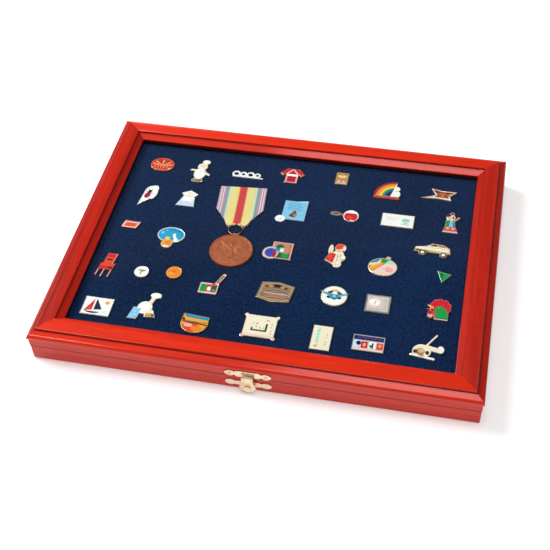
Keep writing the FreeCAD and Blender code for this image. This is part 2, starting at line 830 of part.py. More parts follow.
def lapel_pins():
    """Every lapel pin by node name, in five rows from the hinges to the clasp."""
    return {
        "oval_pins": [
            lapel_pin(-126.4, 82.3, [oval(0, 0, 11.0, 8.6)]),
            lapel_pin(51.2, -45.4, [oval(0, 0, 10.6, 10.4),
                                    poly((-12.2, 4.2), (0, -2.5), (12.2, 4.2), (0, 1.5))]),
        ],
        "cook_pins": [
            lapel_pin(-90.3, 79.3, [oval(2.6, 12.2, 3.9, 2.9), poly((1.0, 12), (-1.5, 6), (5, 6), (4.4, 12)),
                                    oval(0.5, 6.0, 4.8, 4.6), oval(0, -3.2, 5.6, 7.6),
                                    band(-8.2, 0.6, 0, 0.6, 2.6), band(0, 1.5, 8.2, -3.6, 2.6),
                                    oval(-0.4, -12.0, 5.4, 2.4)]),
            lapel_pin(-94.5, -81.8, [oval(6.2, 12.0, 4.6, 3.0), band(3.0, 1.0, 5.6, 11.0, 3.8),
                                     oval(0.5, -1.5, 6.2, 6.6),
                                    poly((-11, -14), (-3.5, -14), (-1, -2), (-8.5, -2)),
                                     poly((1, -4), (8, -3), (11, -10), (2, -11))]),
        ],
        "small_pins": [
            lapel_pin(35.3, 90.3, [oblong(0, 0, 11.4, 15.2)]),
            lapel_pin(134.0, -11.0, [poly((-5.6, 6.4), (6.4, 4.0), (-1.2, -6.2))]),
        ],
        "bar_pins": [
            lapel_pin(-132.3, 4.4, [poly((-8, -4.2), (5.6, -4.4), (8.2, 4.0), (-6.2, 4.4))]),
            lapel_pin(84.7, -88.2, [oblong(0, 0, 24.6, 15.4)]),
        ],
        "card_pins": [
            lapel_pin(89.9, 46.6, [oblong(0, 0, 28.0, 15.6)]),
            lapel_pin(48.6, -89.0, [oblong(0, 0, 15.6, 24.0)]),
        ],
        "square_pins": [
            lapel_pin(86.3, -47.6, [oblong(0, 0, 19.6, 18.0)]),
            lapel_pin(-131.8, -88.6, [oblong(0, 0, 24.0, 18.6)]),
        ],
        "plaque_pins": [
            lapel_pin(4.4, -49.3, [poly((-14.6, -7.6), (-2, -11), (12.6, -9.2),
                                        (14.8, 7.6), (2, 10.6), (-12.4, 9.2))]),
            lapel_pin(-0.2, -86.2, [oblong(0, 0, 25.4, 22.0)] + scallops(2, -12.4, 12.4, 10.4, 1.7)
                      + scallops(2, -12.4, 12.4, -10.4, 1.7)),
        ],
        "round_pins": [
            lapel_pin(-107.7, -46.7, [oval(0, 0, 6.2, 6.2)]),
            lapel_pin(-81.3, -43.0, [oval(0, 0, 6.6, 6.6)]),
        ],
        "ring_chain_pin": [lapel_pin(-47.5, 81.6, ring_chain(), (0, -3.6))],
        "shirt_pin": [lapel_pin(-8.6, 86.6, [
            poly((-5.8, -9.4), (5.8, -9.4), (5.8, 2.2), (8.0, -0.6), (11.2, 2.6), (5.6, 9.2), (-5.6, 9.2),
                 (-11.2, 2.6), (-8.0, -0.6), (-5.8, 2.2))])],
        "rainbow_pin": [lapel_pin(76.9, 83.6, [
            slab(outline(Vector(-11.4, -9.6, 0), [
                Vector(7.4, -9.6, 0), Vector(7.4, 9.6, 0), (Vector(-5.4, 4.0, 0), Vector(-11.4, -9.6, 0))]),
                Vector(0, 0, pin_thickness)),
            oblong(-0.4, -10.4, 22.6, 3.0), oval(7.6, 3.0, 3.4, 3.8), oval(8.6, -4.0, 3.0, 3.6)])],
        "bow_pin": [lapel_pin(120.9, 84.4, [
            poly((-15.2, -6.4), (-3, -1.5), (-7, 6.6), (2.0, 4.6), (15.4, 4.8), (9.6, -1.6), (11.2, -6.8),
                 (0, -5.6))])],
        "leaf_pin": [lapel_pin(-128.1, 42.0, [
            oval(1.6, 3.4, 6.2, 8.4), poly((-6.4, -13.4), (-4.5, 3.0), (1.6, -5.0), (7.2, -0.5)),
            oval(3.4, 8.4, 4.2, 4.2)])],
        "house_pin": [lapel_pin(-92.2, 43.2, [
            poly((-9.4, -9.6), (7.4, -9.6), (5.6, 2.4), (-5.2, 2.4)), oval(0, 3.6, 5.2, 4.4),
            poly((-7.4, 6.2), (0, 10.4), (8.0, 5.8), (4.6, 2.6), (-4.6, 2.6))])],
        "booklet_pin": [lapel_pin(1.0, 43.8, [
            oblong(1.0, 0, 20.4, 23.0), poly((-2, 11), (10.8, 13.2), (11.2, 10)),
            oval(-9.6, -11.0, 4.6, 4.2)])],
        "pan_pin": [lapel_pin(44.9, 45.6, [
            oval(5.4, 0, 6.8, 7.0), oval(-7.8, 1.2, 4.8, 2.4), band(-5, 1, 2, 0.4, 2.0)], (5.4, 0))],
        "juggler_pin": [lapel_pin(134.1, 51.2, [
            oval(-0.6, 6.6, 4.0, 4.2), oval(0.4, 11.0, 2.2, 1.8),
            poly((-4.4, 3.4), (3.2, 3.4), (4.2, -5.2), (-4.8, -5.2)),
            band(1.5, 1.5, 6.0, 6.8, 2.2), poly((-6.6, -11.6), (6.8, -11.6), (4.4, -4.4), (-4.8, -4.4))])],
        "lagoon_pin": [lapel_pin(-94.9, -5.0, [oval(0, 3.0, 12.0, 9.0), oval(-1.4, -7.2, 5.0, 5.0)])],
        "tile_pin": [lapel_pin(-2.7, -4.8, [oblong(3.2, 0.6, 17.4, 19.0), oval(-5.6, -3.0, 7.0, 7.0)])],
        "bear_pin": [lapel_pin(44.9, -0.6, [
            oval(3.0, 7.4, 4.8, 5.0), oval(2.0, -2.6, 5.6, 7.6), oval(-4.6, 4.6, 2.2, 6.0),
            poly((-8.4, -7.6), (-0.6, -11.4), (1.0, 0.8), (-5.0, 1.8)), oval(2.6, -10.6, 3.8, 4.0),
            oval(6.4, -3.2, 2.4, 3.2)])],
        "palette_pin": [lapel_pin(84.6, -7.0, [oval(0, -1.0, 12.0, 9.8), oval(3.4, 9.2, 2.4, 2.0)])],
        "car_pin": [lapel_pin(122.2, 18.2, [
            poly((-15.0, -3.8), (-14.4, 1.4), (-5.0, 3.4), (-1.0, 6.6), (8.6, 6.4), (14.2, 2.6),
                 (15.0, -3.8)),
            oval(-8.0, -4.4, 3.2, 3.0), oval(9.2, -4.8, 3.2, 3.0)])],
        "chair_pin": [lapel_pin(-137.7, -43.9, [
            poly((-3.2, 12.8), (5.6, 12.8), (4.2, 0.6), (-4.6, 0.6)),
            poly((-6.0, 1.6), (6.4, 1.6), (5.4, -5.6), (-7.0, -5.6)),
            band(-6.0, -5, -6.8, -12.0, 1.5), band(-1.2, -5, -2.2, -13.0, 1.5),
            band(4.6, -5, 3.6, -12.6, 1.5)])],
        "guitar_pin": [lapel_pin(-47.1, -50.3, [
            oblong(-2.2, -4.6, 15.6, 11.6), band(3.0, 0.6, 7.4, 11.0, 3.4)], (-2, -4))],
        "rooster_pin": [lapel_pin(134.2, -45.2, [
            oval(1.2, 3.8, 8.0, 7.4), poly((-5.8, 2.6), (8.6, 2.6), (7.6, -10.6), (-3.2, -10.6)),
            oval(-6.2, -5.6, 2.6, 4.0),
            poly((-10.0, 4.0), (-4.2, 2.6), (-5.6, -1.2), (-10.4, -1.0), (-6.6, 0.8))])],
        "bowl_pin": [lapel_pin(-51.1, -91.6, [
            slab(outline(Vector(-10.8, 6.6, 0), [
                (Vector(0, -9.6, 0), Vector(11.0, 5.4, 0)), Vector(10.0, 8.2, 0)]),
                Vector(0, 0, pin_thickness))], (0, 2))],
        "rider_pin": [lapel_pin(128.5, -83.6, [
            oval(-3.4, -4.6, 7.2, 6.4), band(-1.0, 0, 6.6, 12.0, 1.7), band(-11.0, -8.8, 6.0, -11.0, 2.4),
            band(0, -0.6, 9.6, -2.4, 4.6), oval(10.6, -1.2, 2.8, 3.6)])],
    }


# ---------------------------------------------------------------- assembly
def write(name, solids):
    """Save one node as a STEP file."""
    shape = solids[0] if len(solids) == 1 else Part.makeCompound(solids)
    shape.exportStep("parts/" + name + ".step")


def main():
    """Build every node and save it."""
    os.makedirs("parts", exist_ok=True)
    hinge_pieces, hinge_cuts = hinges()
    base_nails = nail_spots(base_face_y, base_plate_z)
    catch_nails = nail_spots(lid_face_y, catch_middle_z)

    base_cuts = hinge_cuts["base"] + v_nails(0, v_nail_clearance) + [nail_hole(s) for s in base_nails]
    for side, rail in mitred_frame(base_section, base_inner_inset).items():
        write("base_" + side + "_rail", [cut_all(rail, base_cuts)])

    lid_cuts = hinge_cuts["lid"] + v_nails(lid_bottom, v_nail_clearance)
    lid_cuts += brads(brad_radius + brad_hole_clearance) + [nail_hole(s) for s in catch_nails]
    for side, rail in mitred_frame(lid_section, sight_inset).items():
        write("lid_" + side + "_rail", [cut_all(rail, lid_cuts)])

    panel_inset = base_inner_inset - panel_groove_depth + panel_side_clearance
    write("base_panel", [inset_plate(panel_inset, panel_bottom, panel_top)])
    write("base_corner_nails", v_nails(0, 0))
    write("lid_corner_nails", v_nails(lid_bottom, 0))
    write("glass_pane", [inset_plate(rabbet_inset + glass_edge_clearance, glass_bottom, ledge_level)])
    brad_holes = brads(brad_radius + brad_hole_clearance)
    write("glazing_strips", [cut_all(strip, brad_holes) for strip in glazing_strips()])
    write("glazing_brads", brads(brad_radius))

    pins = lapel_pins()
    posts = []
    for name, group in pins.items():
        write(name, [pin for pin, _ in group])
        for _, foot in group:
            posts.append(rod(pin_post_radius + pin_post_clearance,
                             foot - Vector(0, 0, pin_post_length + 0.1), foot + Vector(0, 0, over)))
    posts += as_pinned(brooch_prongs(pin_post_radius + pin_post_clearance, pad_top + over))
    wrap = inset_plate(pad_inset, panel_top, pad_top)
    core = inset_plate(pad_inset + felt_thickness, panel_top - over, foam_top)
    write("pad_felt_cover", [cut_all(wrap.cut(core), posts)])
    write("pad_foam", [cut_all(inset_plate(pad_inset + felt_thickness, foam_bottom, foam_top), posts)])
    write("pad_backing_board", [inset_plate(pad_inset + felt_thickness, panel_top, foam_bottom)])

    write("hinge_base_leaves", hinge_pieces["base_leaves"])
    write("hinge_lid_leaves", hinge_pieces["lid_leaves"])
    write("hinge_pins", hinge_pieces["pins"])
    write("hinge_base_screws", hinge_pieces["base_screws"])
    write("hinge_lid_screws", hinge_pieces["lid_screws"])

    write("clasp_catch_plate", [catch_plate()])
    write("clasp_base_plate", [clasp_base_plate()])
    write("clasp_lever", [clasp_lever()])
    write("clasp_pivot_pin", [pivot_pin()])
    write("clasp_spring", [lever_spring()])
    write("clasp_base_nails", [nail(spot) for spot in base_nails])
    write("clasp_catch_nails", [nail(spot) for spot in catch_nails])

    write("medal_disc", as_pinned([medal_disc()]))
    write("medal_ring", as_pinned([medal_ring(medal_ring_wire)]))
    write("medal_ribbon", as_pinned([medal_ribbon()]))
    write("medal_brooch", as_pinned([medal_brooch()]))


main()
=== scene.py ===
"""Hinged, glazed display case with a padded felt insert, lapel pins and a ribboned medal.

Metres, +Z up, the clasp on -Y and the hinges on +Y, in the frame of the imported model.
"""
import logging
import math
from dataclasses import dataclass, field
from enum import Enum
from typing import Callable, Sequence

import bpy
import numpy as np
from mathutils import Matrix, Vector


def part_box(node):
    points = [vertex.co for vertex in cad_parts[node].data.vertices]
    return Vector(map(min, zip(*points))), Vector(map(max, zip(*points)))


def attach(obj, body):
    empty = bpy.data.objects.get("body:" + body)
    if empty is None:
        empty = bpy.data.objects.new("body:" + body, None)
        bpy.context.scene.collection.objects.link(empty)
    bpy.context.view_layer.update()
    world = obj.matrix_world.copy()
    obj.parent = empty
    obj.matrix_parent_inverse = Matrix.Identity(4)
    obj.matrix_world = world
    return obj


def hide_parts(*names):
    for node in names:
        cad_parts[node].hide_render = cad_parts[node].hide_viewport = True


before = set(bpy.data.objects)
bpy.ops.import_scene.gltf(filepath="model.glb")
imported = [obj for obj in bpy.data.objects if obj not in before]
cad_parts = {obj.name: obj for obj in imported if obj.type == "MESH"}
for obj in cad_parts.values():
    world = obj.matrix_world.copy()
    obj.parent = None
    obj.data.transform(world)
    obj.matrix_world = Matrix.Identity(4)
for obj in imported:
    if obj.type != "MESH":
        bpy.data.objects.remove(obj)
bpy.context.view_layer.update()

MM = 0.001

Array = np.ndarray
Colour = tuple[float, float, float]
Socket = bpy.types.NodeSocket
Shape = Callable[[Array, Array], Array]
log = logging.getLogger("display_case")


# ---------------------------------------------------------------- node trees
class Tree:
    """Node tree of one material, with short calls that add and join its nodes."""

    def __init__(self, name: str) -> None:
        """Start a material that holds one Principled shader.

        Args:
            name: the material's name.
        """
        self.material = bpy.data.materials.new(name)
        self.material.use_nodes = True
        self.nodes = self.material.node_tree.nodes
        self.links = self.material.node_tree.links
        self.shader = next(n for n in self.nodes if n.type == "BSDF_PRINCIPLED")
        self.output = next(n for n in self.nodes if n.type == "OUTPUT_MATERIAL")

    def add(self, kind: str, inputs: dict[str, object] | None = None, **settings: object) -> bpy.types.Node:
        """Add a node, set its properties, and set or join its inputs.

        Args:
            kind: the node's type without its ShaderNode prefix.
            inputs: a value or an output socket for each named input.
            settings: the node's own properties.

        Returns:
            The new node.
        """
        node = self.nodes.new("ShaderNode" + kind)
        for key, value in settings.items():
            setattr(node, key, value)
        for key, value in (inputs or {}).items():
            self.join(value, node.inputs[key])
        return node

    def join(self, value: object, target: Socket) -> None:
        """Join an output socket to an input, or set the input to a plain value.

        Args:
            value: an output socket or a value.
            target: the input.
        """
        if isinstance(value, bpy.types.NodeSocket):
            self.links.new(value, target)
        elif isinstance(value, tuple) and len(value) == 3 and target.type == "RGBA":
            target.default_value = (*value, 1.0)
        else:
            target.default_value = value

    def place(self, stretch: Sequence[float] = (1, 1, 1), turn: Sequence[float] = (0, 0, 0)) -> Socket:
        """Object coordinates, stretched and turned.

        Args:
            stretch: scale of each axis.
            turn: turn about each axis, in radians.

        Returns:
            The mapped vector.
        """
        where = self.add("TexCoord").outputs["Object"]
        mapping = {"Vector": where, "Scale": tuple(stretch), "Rotation": tuple(turn)}
        return self.add("Mapping", mapping).outputs[0]

    def noise(self, where: Socket, scale: float, detail: float = 4.0, rough: float = 0.55,
              distortion: float = 0.0) -> Socket:
        """Soft noise between 0 and 1.

        Args:
            where: the pattern's coordinates.
            scale: patterns per metre.
            detail: octaves.
            rough: how strong the fine octaves are.
            distortion: how far the pattern is pushed about.

        Returns:
            The noise's value.
        """
        return self.add("TexNoise", {"Vector": where, "Scale": scale, "Detail": detail, "Roughness": rough,
                                     "Distortion": distortion}).outputs[0]

    def maths(self, operation: str, a: object, b: object = 0.0, clamp: bool = False) -> Socket:
        """Arithmetic on one or two values.

        Args:
            operation: Blender's name of the operation.
            a: first value or socket.
            b: second value or socket.
            clamp: hold the result between 0 and 1.

        Returns:
            The result.
        """
        node = self.add("Math", operation=operation, use_clamp=clamp)
        self.join(a, node.inputs[0])
        self.join(b, node.inputs[1])
        return node.outputs[0]

    def scaled(self, value: Socket, by: float, start: float) -> Socket:
        """A value times a factor, plus a start.

        Args:
            value: the value.
            by: the factor.
            start: what is added.

        Returns:
            The result.
        """
        result = self.maths("MULTIPLY_ADD", value, by)
        result.node.inputs[2].default_value = start
        return result

    def ramp(self, value: Socket, stops: Sequence[tuple[float, Colour]],
             interpolation: str = "LINEAR") -> Socket:
        """Colour ramp.

        Args:
            value: what picks the colour.
            stops: place and colour of each stop, in rising order.
            interpolation: how colours run between stops.

        Returns:
            The colour.
        """
        node = self.add("ValToRGB", {"Fac": value})
        node.color_ramp.interpolation = interpolation
        elements = node.color_ramp.elements
        while len(elements) < len(stops):
            elements.new(1.0)
        for element, (spot, colour) in zip(elements, stops):
            element.position = spot
            element.color = (*colour, 1.0)
        return node.outputs["Color"]

    def mix(self, amount: object, a: object, b: object, blend: str = "MIX") -> Socket:
        """Mix of two colours.

        Args:
            amount: share of the second, a value or a socket.
            a: first colour or socket.
            b: second colour or socket.
            blend: Blender's name of the way to mix.

        Returns:
            The mixed colour.
        """
        node = self.add("Mix", data_type="RGBA", blend_type=blend)
        self.join(amount, node.inputs[0])
        self.join(a, node.inputs[6])
        self.join(b, node.inputs[7])
        return node.outputs[2]

    def bump(self, height: Socket, distance: float, strength: float = 1.0,
             under: Socket | None = None) -> Socket:
        """Bumped normal.

        Args:
            height: the height pattern.
            distance: what a height of 1 stands for, in metres.
            strength: share of the effect.
            under: a normal to bump on top of.

        Returns:
            The normal.
        """
        inputs = {"Height": height, "Distance": distance, "Strength": strength}
        if under is not None:
            inputs["Normal"] = under
        return self.add("Bump", inputs).outputs[0]

    def finish(self, **values: object) -> bpy.types.Material:
        """Set the shader's inputs, given by name with underscores for spaces.

        Args:
            values: a value or socket for each input.

        Returns:
            The material.
        """
        for key, value in values.items():
            self.join(value, self.shader.inputs[key.replace("_", " ")])
        return self.material


def linear(code: str) -> Colour:
    """Scene colour of a six-figure sRGB code.

    Args:
        code: red, green and blue as three pairs of hexadecimal figures.

    Returns:
        The linear colour.
    """
    parts = (int(code[i:i + 2], 16) / 255 for i in (0, 2, 4))
    return tuple(c / 12.92 if c <= 0.04045 else ((c + 0.055) / 1.055) ** 2.4 for c in parts)


# ---------------------------------------------------------------- finishes
class Along(Enum):
    """Way that a rail's grain runs."""

    ACROSS_FRONT = "x"
    FRONT_TO_BACK = "y"


@dataclass(frozen=True)
class StainedWood:
    """Cherry-stained hardwood under clear lacquer, its grain along one way."""

    name: str
    along: Along
    light: str = "D82C0C"
    middle: str = "CA2408"
    dark: str = "A41A08"
    lacquer: float = 0.5
    lacquer_roughness: float = 0.10
    lacquer_index: float = 1.5
    roughness: float = 0.34
    roughness_spread: float = 0.16
    grain_stretch: float = 0.045
    broad_scale: float = 90.0
    fine_scale: float = 520.0
    pore_scale: float = 1900.0
    broad_share: float = 0.55
    grain_height: float = 0.00009
    groove_insets: tuple[float, float] = (0.0058, 0.0186)
    parting_level: float = 0.0153
    line_half_width: float = 0.0011

    def material(self) -> bpy.types.Material:
        """Long streaks from stretched noise, fine pores, and painted shade: darker lines in the grooves and
        along the parting line.

        Returns:
            The wood.
        """
        tree = Tree(self.name)
        across_front = self.along is Along.ACROSS_FRONT
        stretch = (self.grain_stretch, 1, 1) if across_front else (1, self.grain_stretch, 1)
        where = tree.place(stretch)
        broad = tree.noise(where, self.broad_scale, 3.0, 0.5, 0.4)
        fine = tree.noise(where, self.fine_scale, 5.0, 0.6, 0.2)
        pores = tree.noise(where, self.pore_scale, 2.0, 0.5)
        streaks = tree.maths("ADD", tree.maths("MULTIPLY", broad, self.broad_share),
                             tree.maths("MULTIPLY", fine, 1 - self.broad_share))
        colour = tree.ramp(streaks, [(0.25, linear(self.dark)), (0.46, linear(self.middle)),
                                     (0.66, linear(self.light))])
        pore = tree.ramp(pores, [(0.30, (0.55, 0.55, 0.55)), (0.42, (1, 1, 1))])
        colour = tree.mix(0.5, colour, pore, "MULTIPLY")
        # Lighter on sharp edges and darker in hollows, by pointiness.
        edge_and_hollow_tone = tree.ramp(tree.add("NewGeometry").outputs["Pointiness"],
                         [(0.495, (0.80, 0.80, 0.80)), (0.50, (1, 1, 1)), (0.53, (1.18, 1.22, 1.22))])
        colour = tree.mix(0.6, colour, edge_and_hollow_tone, "MULTIPLY")
        # Painted shade in the two grooves and along the parting line.
        colour = tree.mix(1.0, colour, self.painted_line_shade(tree), "MULTIPLY")
        rough = tree.scaled(fine, self.roughness_spread, self.roughness)
        return tree.finish(Base_Color=colour, Roughness=rough, Normal=tree.bump(streaks, self.grain_height),
                           Coat_Weight=self.lacquer, Coat_Roughness=self.lacquer_roughness,
                           Coat_IOR=self.lacquer_index, Specular_IOR_Level=0.1)

    def painted_line_shade(self, tree: Tree) -> Socket:
        """Painted shade: darker lines in the two grooves of the moulding and along the parting line, where
        shadow falls.

        Args:
            tree: the wood's nodes.

        Returns:
            The shade to multiply the wood by.
        """
        axis = 1 if self.along is Along.ACROSS_FRONT else 0
        names = ("lid_front_rail", "lid_back_rail") if axis == 1 else ("lid_left_rail", "lid_right_rail")
        low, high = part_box(names[0])[0][axis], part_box(names[1])[1][axis]
        parts = tree.add("SeparateXYZ", {"Vector": tree.place()}).outputs
        off_middle = tree.maths("ABSOLUTE", tree.maths("SUBTRACT", parts[axis], (low + high) / 2))
        inset = tree.maths("SUBTRACT", (high - low) / 2, off_middle)
        shade = None
        # Painted shade along each groove and the parting line: inset or level, and how much darker.
        lines = ((inset, self.groove_insets[0], 0.55), (inset, self.groove_insets[1], 0.22),
                 (parts[2], self.parting_level, 0.75))
        for value, level, strength in lines:
            away = tree.maths("ABSOLUTE", tree.maths("SUBTRACT", value, level))
            near = tree.maths("SUBTRACT", 1.0, tree.maths("DIVIDE", away, self.line_half_width), clamp=True)
            kept = tree.maths("SUBTRACT", 1.0, tree.maths("MULTIPLY", near, strength))
            shade = kept if shade is None else tree.maths("MULTIPLY", shade, kept)
        return shade


@dataclass(frozen=True)
class Metal:
    """Polished, plated or brushed metal with soft tarnish and fine marks."""

    name: str
    colour: str
    tarnish: str
    roughness: float = 0.22
    scratch: float = 0.00002
    mottle: float = 140.0
    metallic: float = 1.0
    polish: float = 0.12
    dulled: float = 0.08

    def material(self) -> bpy.types.Material:
        """Tarnish in soft patches and in the hollows, fine marks in the bump.

        Returns:
            The metal.
        """
        tree = Tree(self.name)
        where = tree.place()
        patches = tree.noise(where, self.mottle, 4.0, 0.6)
        marks = tree.noise(tree.place((1, 1, 6)), 1800.0, 3.0, 0.6)
        colour = tree.ramp(patches, [(0.35, linear(self.tarnish)), (0.60, linear(self.colour))])
        hollows = tree.ramp(tree.add("NewGeometry").outputs["Pointiness"],
                            [(0.42, linear(self.tarnish)), (0.50, (1, 1, 1))])
        colour = tree.mix(0.7, colour, hollows, "MULTIPLY")
        rough = tree.scaled(patches, -self.polish, self.roughness + self.dulled)
        return tree.finish(Base_Color=colour, Metallic=self.metallic, Roughness=rough,
                           Normal=tree.bump(marks, self.scratch))


@dataclass(frozen=True)
class Sheetstock:
    """Plain matt board, foam or unfinished wood, with its own fibres."""

    name: str
    light: str
    dark: str
    stretch: tuple[float, float, float] = (1.0, 1.0, 1.0)
    scale: float = 600.0
    roughness: float = 0.85

    def material(self) -> bpy.types.Material:
        """Fibres from stretched noise in colour and bump.

        Returns:
            The board.
        """
        tree = Tree(self.name)
        where = tree.place(self.stretch)
        fibres = tree.noise(where, self.scale, 6.0, 0.65)
        colour = tree.ramp(fibres, [(0.35, linear(self.dark)), (0.65, linear(self.light))])
        return tree.finish(Base_Color=colour, Roughness=self.roughness, Normal=tree.bump(fibres, 0.00012))


@dataclass(frozen=True)
class Felt:
    """Short-napped navy felt, finely mottled."""

    name: str = "navy_felt"
    light: str = "132F58"
    dark: str = "030E26"
    nap_scale: float = 2600.0
    clump_scale: float = 560.0
    brushed_scale: float = 14.0
    nap_share: float = 0.35
    brushed_share: float = 0.12
    nap_height: float = 0.0006

    def material(self) -> bpy.types.Material:
        """Loose fibres: fine noise for the nap and broad noise for where it has been brushed.

        Returns:
            The felt.
        """
        tree = Tree(self.name)
        where = tree.place()
        nap = tree.noise(where, self.nap_scale, 5.0, 0.7)
        clumps = tree.noise(where, self.clump_scale, 4.0, 0.65, 0.5)
        brushed = tree.noise(where, self.brushed_scale, 2.0, 0.5)
        mixed = tree.maths("ADD", tree.maths("MULTIPLY", nap, self.nap_share),
                           tree.maths("MULTIPLY", clumps, 1 - self.nap_share))
        mixed = tree.maths("ADD", mixed, tree.maths("MULTIPLY", brushed, self.brushed_share))
        colour = tree.ramp(mixed, [(0.44, linear(self.dark)), (0.68, linear(self.light))])
        return tree.finish(Base_Color=colour, Roughness=0.95, Specular_IOR_Level=0.08, Sheen_Weight=0.04,
                           Sheen_Roughness=0.5, Sheen_Tint=(*linear("3A66A8"), 1.0),
                           Normal=tree.bump(mixed, self.nap_height))


@dataclass(frozen=True)
class ClearGlass:
    """Coated picture glass that lets light straight through and mirrors only faintly."""

    name: str = "clear_glass"
    mirror: float = 0.03

    def material(self) -> bpy.types.Material:
        """A clear pass mixed with a mirror by Fresnel, with faint wipe marks in the mirror's roughness.

        Returns:
            The glass.
        """
        tree = Tree(self.name)
        smears = tree.noise(tree.place((1, 0.25, 1)), 22.0, 3.0, 0.5)
        rough = tree.maths("MULTIPLY", smears, 0.06)
        tree.finish(Base_Color=(1.0, 1.0, 1.0), Roughness=rough, Metallic=1.0)
        clear = tree.add("BsdfTransparent", {"Color": (0.975, 0.985, 0.98)}).outputs[0]
        share = tree.maths("MULTIPLY", tree.add("Fresnel", {"IOR": 1.45}).outputs[0], self.mirror)
        both = tree.add("MixShader")
        tree.join(share, both.inputs[0])
        tree.join(clear, both.inputs[1])
        tree.join(tree.shader.outputs[0], both.inputs[2])
        tree.join(both.outputs[0], tree.output.inputs["Surface"])
        return tree.material


def dress(material: bpy.types.Material, *names: str) -> None:
    """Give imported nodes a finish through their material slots.

    Args:
        material: the finish.
        names: the nodes.
    """
    for name in names:
        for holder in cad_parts[name].material_slots:
            holder.material = material


def soften(width: float, *names: str) -> None:
    """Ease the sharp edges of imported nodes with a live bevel.

    Args:
        width: the bevel's width in metres.
        names: the nodes.
    """
    for name in names:
        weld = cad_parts[name].modifiers.new("weld", "WELD")
        weld.merge_threshold = 1e-6
        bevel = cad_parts[name].modifiers.new("eased_edges", "BEVEL")
        bevel.width = width
        bevel.segments = 2
        bevel.limit_method = "ANGLE"
        bevel.angle_limit = math.radians(40)
        bevel.use_clamp_overlap = True


# ---------------------------------------------------------------- plan shapes, in millimetres
def oval(x: float, y: float, rx: float, ry: float | None = None, turn: float = 0.0) -> Shape:
    """Distance to an ellipse: the scaled radius less one, divided by that radius's own slope.

    Args:
        x: centre across.
        y: centre along.
        rx: half width.
        ry: half height, the half width if left out.
        turn: turn to the left, in degrees.

    Returns:
        The distance function, negative inside.
    """
    ry = rx if ry is None else ry
    c, s = math.cos(math.radians(turn)), math.sin(math.radians(turn))

    def distance(px: Array, py: Array) -> Array:
        """Distance at each point."""
        u = (c * (px - x) + s * (py - y)) / rx
        v = (c * (py - y) - s * (px - x)) / ry
        k = np.hypot(u, v) + 1e-9
        return k * (k - 1) / (np.hypot(u / rx, v / ry) + 1e-9)

    return distance


def oblong(x: float, y: float, width: float, height: float, turn: float = 0.0, corner: float = 0.0) -> Shape:
    """Distance to a rectangle with round corners: length of the overshoot past each side.

    Args:
        x: centre across.
        y: centre along.
        width: size across.
        height: size along.
        turn: turn to the left, in degrees.
        corner: corner radius.

    Returns:
        The distance function.
    """
    c, s = math.cos(math.radians(turn)), math.sin(math.radians(turn))

    def distance(px: Array, py: Array) -> Array:
        """Distance at each point."""
        u = np.abs(c * (px - x) + s * (py - y)) - width / 2 + corner
        v = np.abs(c * (py - y) - s * (px - x)) - height / 2 + corner
        return np.hypot(np.maximum(u, 0), np.maximum(v, 0)) + np.minimum(np.maximum(u, v), 0) - corner

    return distance


def poly(*corners: tuple[float, float]) -> Shape:
    """Distance to a polygon: nearest side, negative where a ray crosses an odd number of sides.

    Args:
        corners: the corners in order.

    Returns:
        The distance function.
    """
    def distance(px: Array, py: Array) -> Array:
        """Distance at each point."""
        near = np.full(np.shape(px), 1e9)
        inside = np.zeros(np.shape(px), bool)
        for (ax, ay), (bx, by) in zip(corners, corners[1:] + corners[:1]):
            ex, ey, wx, wy = bx - ax, by - ay, px - ax, py - ay
            t = np.clip((wx * ex + wy * ey) / (ex * ex + ey * ey), 0, 1)
            near = np.minimum(near, np.hypot(wx - ex * t, wy - ey * t))
            crosses = (ay > py) != (by > py)
            inside ^= crosses & (px < ax + (py - ay) * ex / (ey if ey else 1.0))
        return np.where(inside, -near, near)

    return distance


def bar(ax: float, ay: float, bx: float, by: float, width: float, end_width: float | None = None) -> Shape:
    """Distance to a straight bar with round ends, which may taper along its length.

    Args:
        ax: start across.
        ay: start along.
        bx: end across.
        by: end along.
        width: width at the start.
        end_width: width at the end, the same if left out.

    Returns:
        The distance function.
    """
    end_width = width if end_width is None else end_width
    ex, ey = bx - ax, by - ay

    def distance(px: Array, py: Array) -> Array:
        """Distance at each point."""
        wx, wy = px - ax, py - ay
        t = np.clip((wx * ex + wy * ey) / (ex * ex + ey * ey), 0, 1)
        return np.hypot(wx - ex * t, wy - ey * t) - (width + (end_width - width) * t) / 2

    return distance


def either(*shapes: Shape) -> Shape:
    """Union: the least of the distances."""
    return lambda px, py: np.minimum.reduce([shape(px, py) for shape in shapes])


def both(*shapes: Shape) -> Shape:
    """Overlap: the greatest of the distances."""
    return lambda px, py: np.maximum.reduce([shape(px, py) for shape in shapes])


def less(shape: Shape, *holes: Shape) -> Shape:
    """First shape without the others: the greatest of its distance and their negatives."""
    return lambda px, py: np.maximum.reduce([shape(px, py)] + [-hole(px, py) for hole in holes])


def hoop(shape: Shape, width: float) -> Shape:
    """Line of a given width along a shape's edge."""
    return lambda px, py: np.abs(shape(px, py)) - width / 2


def twin(shape: Shape) -> Shape:
    """Shape and its mirror image about x = 0."""
    return lambda px, py: np.minimum(shape(px, py), shape(-px, py))


def row(count: int, make: Callable[[int], Shape]) -> Shape:
    """Union of shapes made from their number in a row."""
    return either(*(make(i) for i in range(count)))


def smooth(low: float, high: float, value: Array) -> Array:
    """Smooth step from 0 at low to 1 at high: 3t^2 - 2t^3."""
    t = np.clip((value - low) / (high - low), 0, 1)
    return t * t * (3 - 2 * t)


